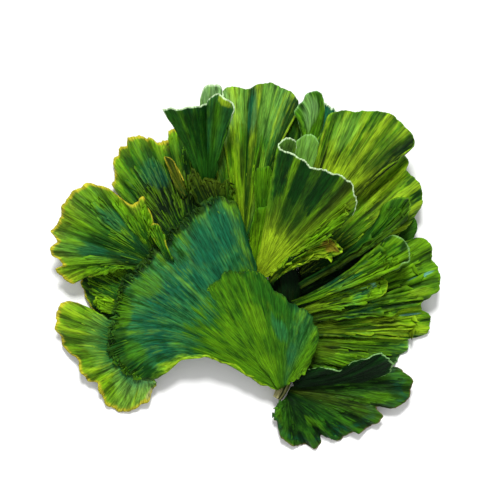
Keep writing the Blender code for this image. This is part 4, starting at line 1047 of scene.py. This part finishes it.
def swept_ribs(fan, places, ragged, rows):
    """The grid of points along the ribs, the direction to each rib's side, and the ribs' lengths."""
    foot = at_places(curve_through(fan.root), places)[:, None, :]
    rib = at_places(curve_through(fan.rim), places)[:, None, :] - foot
    rib_length = np.linalg.norm(rib, axis=2, keepdims=True)
    tooth_count, tooth_depth = fan.teeth
    notch = -0.5 * np.cos(2 * math.pi * tooth_count * places + fan.seed)
    shorter = 1.0 - (tooth_depth * notch + ragged)[:, None, None] / rib_length
    reach = np.linspace(0.0, 1.0, rows + 1)[None, :, None]
    bend = bend_shape(reach, fan.bend_late)
    level = rib * np.array((1.0, 1.0, 0.0))
    side = unit(np.stack((level[..., 1], -level[..., 0], level[..., 2]), axis=-1))
    points = foot + rib * reach * shorter
    points = points + side * at_places(fan.bow, places)[:, None, None] * bend
    points[..., 2] += at_places(fan.arch, places)[:, None] * bend[..., 0]
    if not fan.rolled:
        points = keep_apart(points, (len(places) - 1) / fan.ribs)
    return points, side, rib_length[..., 0]


def face_detail(dice, folds, spans, rib_length, grid):
    """Height of the folds, wrinkles, fibres and growth lines over a blade's grid."""
    wide, long = spans
    steps = np.linspace(0.0, 1.0, grid[1])[None, :]
    fold_pitch, fold_height, fold_length = folds
    fine = smooth_noise(dice, wide / fold_pitch, long / fold_length, *grid)
    broad = smooth_noise(dice, wide / (BROAD_FOLD_RATIO * fold_pitch), long / BROAD_FOLD_LENGTH, *grid)
    wrinkle = smooth_noise(dice, wide / WRINKLE_PITCH, long / WRINKLE_LENGTH, *grid)
    crumple = FOLD_SHARE * ridged(fine) + BROAD_FOLD_SHARE * broad + WRINKLE_SHARE * ridged(wrinkle)
    creased = fold_height * crumple * steps ** FOLD_GROWTH
    fibres = FIBRE_HEIGHT * smooth_noise(dice, wide / FIBRE_PITCH, long / FIBRE_LENGTH, *grid)
    growth = GROWTH_HEIGHT * np.sin(2 * math.pi * steps * rib_length / GROWTH_BAND + GROWTH_WAVER * broad)
    return creased + fibres * np.minimum(steps / FIBRES_FULL_FROM, 1.0) + growth * steps


def half_thickness(steps, to_rim):
    """Half the thickness of a blade: thinner towards the rim, and thinnest at its edge."""
    thin = np.minimum(1.0, steps / THIN_FROM)
    half = 0.5 * (ROOT_THICKNESS + (RIM_THICKNESS - ROOT_THICKNESS) * thin)
    edge = np.exp(-to_rim / EDGE_REACH)
    return half * (1.0 - edge) + 0.5 * EDGE_THICKNESS * edge


def fold_shade(lift):
    """Shade from 0 in the valleys to 1 on the ridges of a blade's relief, which the skin paints as shade in
    the valleys and as a highlight on the ridges.
    """
    span = int(FOLD_SHADE_SPAN / COLUMN_PITCH)
    local = moving_mean(moving_mean(lift, span), span)
    return np.clip(0.5 + ((lift - local) / FOLD_SHADE_HEIGHT)[..., 0], 0.0, 1.0)


def fine_shape(fan, look):
    """The middle surface of a fine blade, its half thickness, fold shade, and distance to the free edges."""
    spans = blade_spans(fan)
    wide, long = spans
    columns = int(wide / COLUMN_PITCH) + LEAST_COLUMNS
    rows = int(long / ROW_PITCH) + LEAST_ROWS
    grid = (columns + 1, rows + 1)
    places = even_places(curve_through(fan.root), curve_through(fan.rim), columns)
    dice = np.random.default_rng(SHAPE_SEED + fan.seed)
    frill_height, tooth_size = look.frill
    teeth = smooth_noise(dice, wide / TOOTH_PITCH, 1, columns + 1, 1)[:, 0]
    fine_teeth = smooth_noise(dice, wide / FINE_TOOTH_PITCH, 1, columns + 1, 1)[:, 0]
    ragged = tooth_size * (teeth + FINE_TOOTH_SHARE * np.abs(fine_teeth))
    points, side, rib_length = swept_ribs(fan, places, ragged, rows)
    normals = evened(grid_normals(points), max(columns // RELIEF_NORMAL_PART, 1), RELIEF_NORMAL_ROUNDS)

    steps = np.linspace(0.0, 1.0, rows + 1)[None, :]
    to_rim = (1.0 - steps) * rib_length
    spacing = np.linalg.norm(np.diff(points, axis=0), axis=2)
    from_first = np.concatenate((np.zeros((1, rows + 1)), np.cumsum(spacing, axis=0)))
    to_side = np.minimum(from_first, from_first[-1:] - from_first)
    near_side = np.exp(-to_side / SIDE_FRILL_REACH) * np.minimum(from_first[-1:] / FULL_FRILL_WIDTH, 1.0)
    sideways = smooth_noise(dice, FRILL_BUMPS, long / SIDE_FRILL_PITCH, *grid)
    points = points + side * (tooth_size * sideways * near_side)[..., None]

    detail = face_detail(dice, look.folds, spans, rib_length, grid)
    curl = smooth_noise(dice, wide / FRILL_PITCH, FRILL_BUMPS, *grid) * np.exp(-to_rim / FRILL_REACH)
    side_curl = smooth_noise(dice, FRILL_BUMPS, long / SIDE_FRILL_PITCH, *grid) * near_side
    detail = detail + frill_height * (curl + side_curl)
    detail -= detail[:, :1]
    lift = (relief(fan, places[:, None], steps) + detail)[..., None]
    points = points + normals * lift
    half = half_thickness(steps, to_rim)
    points[..., 2] = np.maximum(points[..., 2], RESTING_HEIGHT + half)
    points[..., 2] -= look.side_drop * np.exp(-from_first / SIDE_DROP_REACH) * steps
    to_edge = np.minimum(to_rim, to_side + look.side_fade * (1.0 - steps))
    return points, half, fold_shade(lift), to_edge


def closed_sheet(middle, normals, half):
    """Vertices and quads of a closed sheet about a grid of points, alike on both faces."""
    columns, rows = middle.shape[0], middle.shape[1]
    upper = middle + normals * half[..., None]
    lower = middle - normals * half[..., None]
    upper[..., 2] = np.maximum(upper[..., 2], RESTING_HEIGHT)
    lower[..., 2] = np.maximum(lower[..., 2], RESTING_HEIGHT)
    count = columns * rows
    index = np.arange(count).reshape(columns, rows)
    a, b = index[:-1, :-1].ravel(), index[1:, :-1].ravel()
    c, d = index[1:, 1:].ravel(), index[:-1, 1:].ravel()
    top = np.stack((a, b, c, d), axis=1)
    bottom = np.stack((a, d, c, b), axis=1) + count
    rim = np.concatenate((index[:-1, 0], index[-1, :-1], index[:0:-1, -1], index[0, :0:-1]))
    following = np.roll(rim, -1)
    wall = np.stack((rim, rim + count, following + count, following), axis=1)
    vertices = np.concatenate((upper.reshape(-1, 3), lower.reshape(-1, 3)))
    return vertices, np.concatenate((top, bottom, wall))


def on_both_faces(values):
    """Repeat the values of a sheet's points for its other face."""
    return np.concatenate((values, values))


def read_grid(grid, across, along):
    """Read a grid of values between its points, at places from 0 to 1 across and along."""
    column = np.clip(across, 0.0, 1.0) * (grid.shape[0] - 1)
    row = np.clip(along, 0.0, 1.0) * (grid.shape[1] - 1)
    first_column = np.minimum(column.astype(int), grid.shape[0] - 2)
    first_row = np.minimum(row.astype(int), grid.shape[1] - 2)
    east = (column - first_column)[:, None]
    north = (row - first_row)[:, None]
    near = grid[first_column, first_row] * (1 - east) + grid[first_column + 1, first_row] * east
    far = grid[first_column, first_row + 1] * (1 - east) + grid[first_column + 1, first_row + 1] * east
    return near * (1 - north) + far * north


def flake(dice, middle, normals, reach_length, field):
    """One small upright flake of tissue that grows along a rib: a closed sheet, its UVs, fold and edge."""
    across_from, across_to, along_from, along_to, tallest = field
    height = tallest * dice.uniform(*FLAKE_HEIGHTS)
    length = tallest * dice.uniform(*FLAKE_STRETCH)
    start = dice.uniform(along_from, along_to)
    steps = np.linspace(0.0, 1.0, FLAKE_STEPS)
    across = dice.uniform(across_from, across_to) + dice.normal(0.0, FLAKE_WANDER) * steps
    along = np.minimum(start + length / reach_length * steps, 0.5 * (1.0 + along_to))
    foot = read_grid(middle, across, along)
    up = unit(read_grid(normals, across, along))
    ahead = unit(np.gradient(foot, axis=0))
    beside = unit(np.cross(ahead, up))
    lean = dice.uniform(*FLAKE_LEANS) * dice.choice((-1.0, 1.0))
    jagged = np.clip(dice.normal(1.0, FLAKE_JAGS, FLAKE_STEPS), *FLAKE_JAG_LIMITS)
    profile = height * steps ** FLAKE_RISE * (1.0 - steps ** FLAKE_FALL) * jagged
    levels = np.linspace(0.0, 1.0, FLAKE_LEVELS)
    rise = profile[:, None] * levels[None, :]
    tilt = lean * levels[None, :]
    offset = up[:, None] * (rise * np.cos(tilt) - FLAKE_SINK)[..., None]
    offset = offset + beside[:, None] * (rise * np.sin(tilt))[..., None]
    sheet = foot[:, None] + offset + ahead[:, None] * (FLAKE_AHEAD * rise)[..., None]
    half = np.full(sheet.shape[:2], 0.5 * FLAKE_THICKNESS)
    vertices, faces = closed_sheet(sheet, grid_normals(sheet), half)
    uv = np.stack(np.broadcast_arrays(across[:, None] + FLAKE_UV_WIDTH * levels, along[:, None]), axis=-1)
    # The fold shade paints shade at the flake's foot and a highlight towards its top
    fold = np.broadcast_to(FLAKE_FOOT_SHADE + FLAKE_SHADE_RISE * levels, sheet.shape[:2]).ravel()
    edge = np.full(len(vertices), NO_EDGE)
    return vertices, faces, on_both_faces(uv.reshape(-1, 2)), on_both_faces(fold), edge


def blade_mesh(fan, look):
    """Vertices, faces, UVs, fold shade and edge distance of a fine closed blade and its flakes."""
    middle, half, fold_depth, to_edge = fine_shape(fan, look)
    normals = evened(grid_normals(middle), FACE_NORMAL_REACH, FACE_NORMAL_ROUNDS)
    vertices, faces = closed_sheet(middle, normals, half)
    across, along = np.meshgrid(*(np.linspace(0.0, 1.0, count) for count in half.shape), indexing="ij")
    uv = np.stack((across, along), axis=-1).reshape(-1, 2)
    values = (on_both_faces(part) for part in (uv, fold_depth.ravel(), to_edge.ravel()))
    shapes = [(vertices, faces, *values)]
    dice = np.random.default_rng(FLAKE_SEED + fan.seed)
    reach_length = blade_spans(fan)[1]
    for count, *field in look.flakes:
        shapes += [flake(dice, middle, normals, reach_length, field) for _ in range(count)]
    firsts = np.cumsum([0] + [len(shape[0]) for shape in shapes])
    vertices, faces, uv, fold, edge = zip(*shapes)
    faces = np.concatenate([quads + first for quads, first in zip(faces, firsts)]).tolist()
    return np.concatenate(vertices), faces, np.concatenate(uv), np.concatenate(fold), np.concatenate(edge)


def stalk_mesh():
    """Vertices, faces, UVs, fold shade and edge distance of the fibrous stalk, flat where it rests."""
    rings, sides = STALK_RINGS, STALK_SIDES
    path = curve_through([point[:3] for point in STALK_PATH], rings)
    wanted = np.linspace(0.0, 1.0, rings)
    widths = at_places([point[3] for point in STALK_PATH], wanted)
    heights = at_places([point[4] for point in STALK_PATH], wanted)
    along = unit(np.gradient(path, axis=0))
    sideways = unit(np.cross(along, (0.0, 0.0, 1.0)))
    upward = np.cross(sideways, along)
    angles = np.arange(sides) * 2 * math.pi / sides
    ridges = 1.0 + STALK_RIDGE_HEIGHT * np.cos(STALK_RIDGES * angles)
    dice = np.random.default_rng(STALK_SEED)
    fibre, knots = (
        smooth_noise(dice, rings / ring_pitch, sides / side_pitch, rings, sides)
        for ring_pitch, side_pitch in (STALK_FIBRE_PITCH, STALK_KNOT_PITCH)
    )
    ring = np.cos(angles)[None, :, None] * sideways[:, None] * widths[:, None, None]
    ring = ring + np.sin(angles)[None, :, None] * upward[:, None] * heights[:, None, None]
    from_seam = np.minimum(np.arange(sides), sides - np.arange(sides)) / STALK_SEAM
    swell = (STALK_FIBRE_HEIGHT * fibre + STALK_KNOT_HEIGHT * knots) * np.minimum(from_seam, 1.0)
    points = path[:, None] + ring * (ridges[None] * (1.0 + swell))[..., None]
    points[..., 2] = np.maximum(points[..., 2], RESTING_HEIGHT)
    vertices = np.concatenate((points.reshape(-1, 3), path[:1], path[-1:]))
    index = np.arange(rings * sides).reshape(rings, sides)
    near, far = index[:-1], index[1:]
    near_next, far_next = np.roll(near, -1, axis=1), np.roll(far, -1, axis=1)
    faces = np.stack((near, far, far_next, near_next), axis=-1).reshape(-1, 4).tolist()
    first_centre = rings * sides
    faces += [(first_centre, spoke, (spoke + 1) % sides) for spoke in range(sides)]
    last = (rings - 1) * sides
    faces += [(first_centre + 1, last + (spoke + 1) % sides, last + spoke) for spoke in range(sides)]
    turn, way = np.meshgrid(np.arange(sides) / sides, wanted)
    uv = np.stack((turn, way), axis=-1).reshape(-1, 2)
    uv = np.concatenate((uv, ((0.5, 0.0), (0.5, 1.0))))
    # Fold shade from the fibres: painted shade in their grooves and painted highlights on their tops
    shade = np.concatenate((np.clip(0.5 + STALK_SHADE * fibre, 0.0, 1.0).ravel(), (0.5, 0.5)))
    return vertices, faces, uv, shade, np.full(len(vertices), NO_EDGE)


def add_piece(name, shape, material):
    """Make one fine piece in metres, with its UVs and shades, in place of the CAD node."""
    vertices, faces, uv, fold, edge = shape
    mesh = bpy.data.meshes.new(name + "_fine")
    placed = (vertices - CLUMP_CENTRE) * MILLIMETRE
    mesh.from_pydata(placed.tolist(), [], faces)
    corners = np.empty(len(mesh.loops), dtype=np.int32)
    mesh.loops.foreach_get("vertex_index", corners)
    layer = mesh.uv_layers.new(name="blade")
    layer.data.foreach_set("uv", uv[corners].astype(np.float32).ravel())
    for label, values in (("fold", fold), ("edge", edge)):
        attribute = mesh.attributes.new(label, "FLOAT", "POINT")
        attribute.data.foreach_set("value", values.astype(np.float32))
    mesh.update()
    mesh.shade_smooth()
    mesh.materials.append(material)
    piece = bpy.data.objects.new(name + "_fine", mesh)
    bpy.context.scene.collection.objects.link(piece)
    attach(piece, "root")
    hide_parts(name)


class Nodes:
    """Adds shader nodes to a material and links them."""

    def __init__(self, name):
        self.material = bpy.data.materials.new(name)
        self.material.use_nodes = True
        self.tree = self.material.node_tree
        self.shader = self.tree.nodes["Principled BSDF"]

    def put(self, socket, value):
        """Link an output to a socket, or set the socket to a plain value."""
        if isinstance(value, bpy.types.NodeSocket):
            self.tree.links.new(value, socket)
        elif socket.type == "RGBA":
            socket.default_value = (*value, 1.0)
        else:
            socket.default_value = value

    def math(self, operation, *values):
        """A sum, product or other plain operation on two or three values."""
        node = self.tree.nodes.new("ShaderNodeMath")
        node.operation = operation
        for socket, value in zip(node.inputs, values):
            self.put(socket, value)
        return node.outputs[0]

    def mix(self, amount, first, second):
        """The first colour where the amount is 0, and the second where it is 1."""
        node = self.tree.nodes.new("ShaderNodeMix")
        node.data_type = "RGBA"
        self.put(node.inputs[0], amount)
        self.put(node.inputs[6], first)
        self.put(node.inputs[7], second)
        return node.outputs[2]

    def brightened(self, colour, factor):
        """A colour times a factor."""
        node = self.tree.nodes.new("ShaderNodeVectorMath")
        node.operation = "SCALE"
        self.put(node.inputs[0], colour)
        self.put(node.inputs["Scale"], factor)
        return node.outputs[0]

    def ramp(self, value, stops):
        """Colour and strength by a ramp; stops are (place, colour, strength) or (place, colour)."""
        node = self.tree.nodes.new("ShaderNodeValToRGB")
        node.color_ramp.interpolation = "EASE"
        elements = node.color_ramp.elements
        while len(elements) < len(stops):
            elements.new(0.5)
        for element, (place, colour, *strength) in zip(elements, stops):
            element.position = place
            element.color = (*colour, *(strength or (1.0,)))
        self.put(node.inputs[0], value)
        return node.outputs[0], node.outputs[1]

    def noise(self, vector, scale, detail, roughness):
        """Noise from 0 to 1, about 0.5."""
        node = self.tree.nodes.new("ShaderNodeTexNoise")
        node.inputs["Scale"].default_value = scale
        node.inputs["Detail"].default_value = detail
        node.inputs["Roughness"].default_value = roughness
        self.put(node.inputs["Vector"], vector)
        return node.outputs["Fac"]

    def stretch(self, vector, scale, shift):
        """A place that is scaled and then shifted."""
        node = self.tree.nodes.new("ShaderNodeMapping")
        node.inputs["Location"].default_value = shift
        node.inputs["Scale"].default_value = scale
        self.put(node.inputs["Vector"], vector)
        return node.outputs[0]

    def attribute(self, name):
        """A value stored on the mesh."""
        node = self.tree.nodes.new("ShaderNodeAttribute")
        node.attribute_name = name
        return node.outputs["Fac"]

    def window(self, value, low, high):
        """Rise from 0 to 1 smoothly as the value goes from low to high."""
        node = self.tree.nodes.new("ShaderNodeMapRange")
        node.interpolation_type = "SMOOTHSTEP"
        self.put(node.inputs["Value"], value)
        node.inputs["From Min"].default_value = low
        node.inputs["From Max"].default_value = high
        return node.outputs["Result"]

    def finish(self, colour, roughness, gloss):
        """Put the colour, roughness and gloss into the shader."""
        self.put(self.shader.inputs["Base Color"], colour)
        self.put(self.shader.inputs["Roughness"], roughness)
        self.shader.inputs["Specular IOR Level"].default_value = gloss


class Skin(Nodes):
    """Ribbed seaweed skin: zones and sectors of green, flecks and streaks along the ribs, painted shade in
    the fold valleys, painted highlights on the ridges, a lighter rim.
    """

    def __init__(self, name, look, spans, seed):
        super().__init__(name + "_skin")
        uv = self.tree.nodes.new("ShaderNodeUVMap")
        uv.uv_map = "blade"
        parts = self.tree.nodes.new("ShaderNodeSeparateXYZ")
        self.put(parts.inputs[0], uv.outputs[0])
        self.across, self.along = parts.outputs[0], parts.outputs[1]
        shift = (SEED_SHIFT[0] * seed, SEED_SHIFT[1] * seed, 0.0)
        self.noises = {}
        for label, (pitch_across, pitch_along, *grain) in NOISES.items():
            scale = (spans[0] / pitch_across, spans[1] / pitch_along, 1.0)
            self.noises[label] = self.noise(self.stretch(uv.outputs[0], scale, shift), 1.0, *grain)
        self.colour = self.zones(look)
        self.mottle(look)
        self.paint_fold_shade(look)
        self.add_patches(look)
        self.tint_rim(look)
        brightness = self.math("MAXIMUM", self.swing(BRIGHTNESS_SHARES, MEAN_BRIGHTNESS), LEAST_BRIGHTNESS)
        roughness = self.swing(ROUGHNESS_SHARES, MEAN_ROUGHNESS)
        self.finish(self.brightened(self.colour, brightness), roughness, SKIN_GLOSS)
        bump = self.tree.nodes.new("ShaderNodeBump")
        bump.inputs["Strength"].default_value = BUMP_STRENGTH
        bump.inputs["Distance"].default_value = BUMP_DEPTH_M
        self.put(bump.inputs["Height"], self.swing(BUMP_SHARES, MEAN_BUMP))
        self.put(self.shader.inputs["Normal"], bump.outputs[0])

    def swing(self, shares, middle=0.0):
        """The sum of the noises times their shares, shifted so that it swings about the middle."""
        total = middle - 0.5 * sum(shares.values())
        for label, share in shares.items():
            total = self.math("MULTIPLY_ADD", self.noises[label], share, total)
        return total

    def lay(self, tint, amount, strength):
        """Lay a tint over the colour where the amount is high."""
        self.colour = self.mix(self.math("MULTIPLY", amount, strength), self.colour, tint)

    def zones(self, look):
        """Green that changes from root to rim, with tinted sectors across the blade."""
        colour, _ = self.ramp(self.math("ADD", self.along, self.swing(ALONG_WANDER)), look.along)
        if not look.across:
            return colour
        tint, strength = self.ramp(self.math("ADD", self.across, self.swing(ACROSS_WANDER)), look.across)
        if look.across_from > 0.0:
            begins = self.window(self.along, look.across_from, look.across_from + ACROSS_FADE)
            strength = self.math("MULTIPLY", strength, begins)
        return self.mix(strength, colour, tint)

    def mottle(self, look):
        """Dark and light flecks and streaks."""
        mottle = self.swing(MOTTLE_SHARES, MEAN_MOTTLE)
        dark_strength, light_strength = look.contrast
        self.lay(look.dark, self.window(mottle, *DARK_WINDOW), dark_strength)
        self.lay(look.light, self.window(mottle, *LIGHT_WINDOW), light_strength)

    def paint_fold_shade(self, look):
        """Painted shade in the fold valleys, most of all near the root, and painted highlights on the
        ridges.
        """
        fold = self.math("ADD", self.attribute("fold"), self.swing(FOLD_WANDER))
        near_root = self.math("MULTIPLY_ADD", self.along, -VALLEY_SHADE_LOSS, VALLEY_SHADE_AT_ROOT)
        valley_shade = self.math("MULTIPLY", self.window(fold, *VALLEY_SHADE_WINDOW), near_root)
        self.lay(look.dark, valley_shade, look.shade)
        self.lay(look.light, self.window(fold, *RIDGE_HIGHLIGHT_WINDOW), look.ridge_highlight)

    def add_patches(self, look):
        """Ragged oval blotches at set places."""
        for spot_across, spot_along, half_wide, half_long, tint, strength in look.patches:
            east = self.math("DIVIDE", self.math("SUBTRACT", self.across, spot_across), half_wide)
            north = self.math("DIVIDE", self.math("SUBTRACT", self.along, spot_along), half_long)
            far = self.math("ADD", self.math("POWER", east, 2.0), self.math("POWER", north, 2.0))
            far = self.math("ADD", far, self.swing(PATCH_WANDER))
            self.lay(tint, self.window(far, *PATCH_WINDOW), strength)

    def tint_rim(self, look):
        """A ragged band of the rim's colour, over all of the rim or a span of it."""
        rim_colour, rim_width, rim_strength = look.rim
        wander = self.swing({"streak": RIM_RAGGEDNESS * rim_width})
        distance = self.math("ADD", self.attribute("edge"), wander)
        rim = self.window(distance, *(share * rim_width for share in RIM_WINDOW))
        first, last = look.rim_span
        if last < 1:
            before = self.window(self.across, last + RIM_END_FADE, last - RIM_END_FADE)
            rim = self.math("MULTIPLY", rim, before)
        if first > 0:
            after = self.window(self.across, first - RIM_END_FADE, first + RIM_END_FADE)
            rim = self.math("MULTIPLY", rim, after)
        self.lay(rim_colour, rim, rim_strength)


def floor_material():
    """Plain white table, with the faintest grain."""
    nodes = Nodes("table_white")
    where = nodes.tree.nodes.new("ShaderNodeTexCoord").outputs["Object"]
    colour, _ = nodes.ramp(nodes.noise(where, *TABLE_NOISE), ((0, TABLE_DULL), (1, TABLE_WHITE)))
    nodes.finish(colour, TABLE_ROUGHNESS, TABLE_GLOSS)
    return nodes.material


def add_floor():
    """A wide white table under the clump."""
    half = TABLE_HALF_M
    corners = [(-half, -half, 0.0), (half, -half, 0.0), (half, half, 0.0), (-half, half, 0.0)]
    mesh = bpy.data.meshes.new("table")
    mesh.from_pydata(corners, [], [(0, 1, 2, 3)])
    mesh.materials.append(floor_material())
    table = bpy.data.objects.new("table", mesh)
    bpy.context.scene.collection.objects.link(table)


def add_light():
    """A wide soft sun from above and behind, and white light from all round."""
    data = bpy.data.lights.new("key", "SUN")
    data.energy = SUN_STRENGTH
    data.angle = math.radians(SUN_WIDTH_DEGREES)
    lamp = bpy.data.objects.new("key", data)
    bpy.context.scene.collection.objects.link(lamp)
    lamp.location = SUN_SPOT_M
    lamp.rotation_euler = (-Vector(SUN_SPOT_M)).to_track_quat("-Z", "Y").to_euler()
    world = bpy.data.worlds.new("studio")
    world.use_nodes = True
    background = world.node_tree.nodes["Background"]
    background.inputs["Color"].default_value = WORLD_WHITE
    background.inputs["Strength"].default_value = WORLD_STRENGTH
    bpy.context.scene.world = world


def add_camera():
    """A long lens straight above the clump, with +Y up in the picture."""
    data = bpy.data.cameras.new("camera")
    data.type = "PERSP"
    data.sensor_width = CAMERA_SENSOR
    data.lens = CAMERA_LENS
    data.clip_start, data.clip_end = CAMERA_CLIP_M
    camera = bpy.data.objects.new("camera", data)
    bpy.context.scene.collection.objects.link(camera)
    camera.location = CAMERA_SPOT_M
    camera.rotation_euler = (0.0, 0.0, 0.0)
    bpy.context.scene.camera = camera


def build():
    """Make every piece, the table, the light and the camera."""
    for fan in FANS:
        look = LOOKS[fan.name]
        skin = Skin(fan.name, look, blade_spans(fan), fan.seed)
        add_piece(fan.name, blade_mesh(fan, look), skin.material)
    add_piece("stipe", stalk_mesh(), Skin("stipe", LOOKS["stipe"], STALK_SPANS, STALK_SEED).material)
    add_floor()
    add_light()
    add_camera()
    bpy.context.scene.view_settings.view_transform = "Standard"


build()
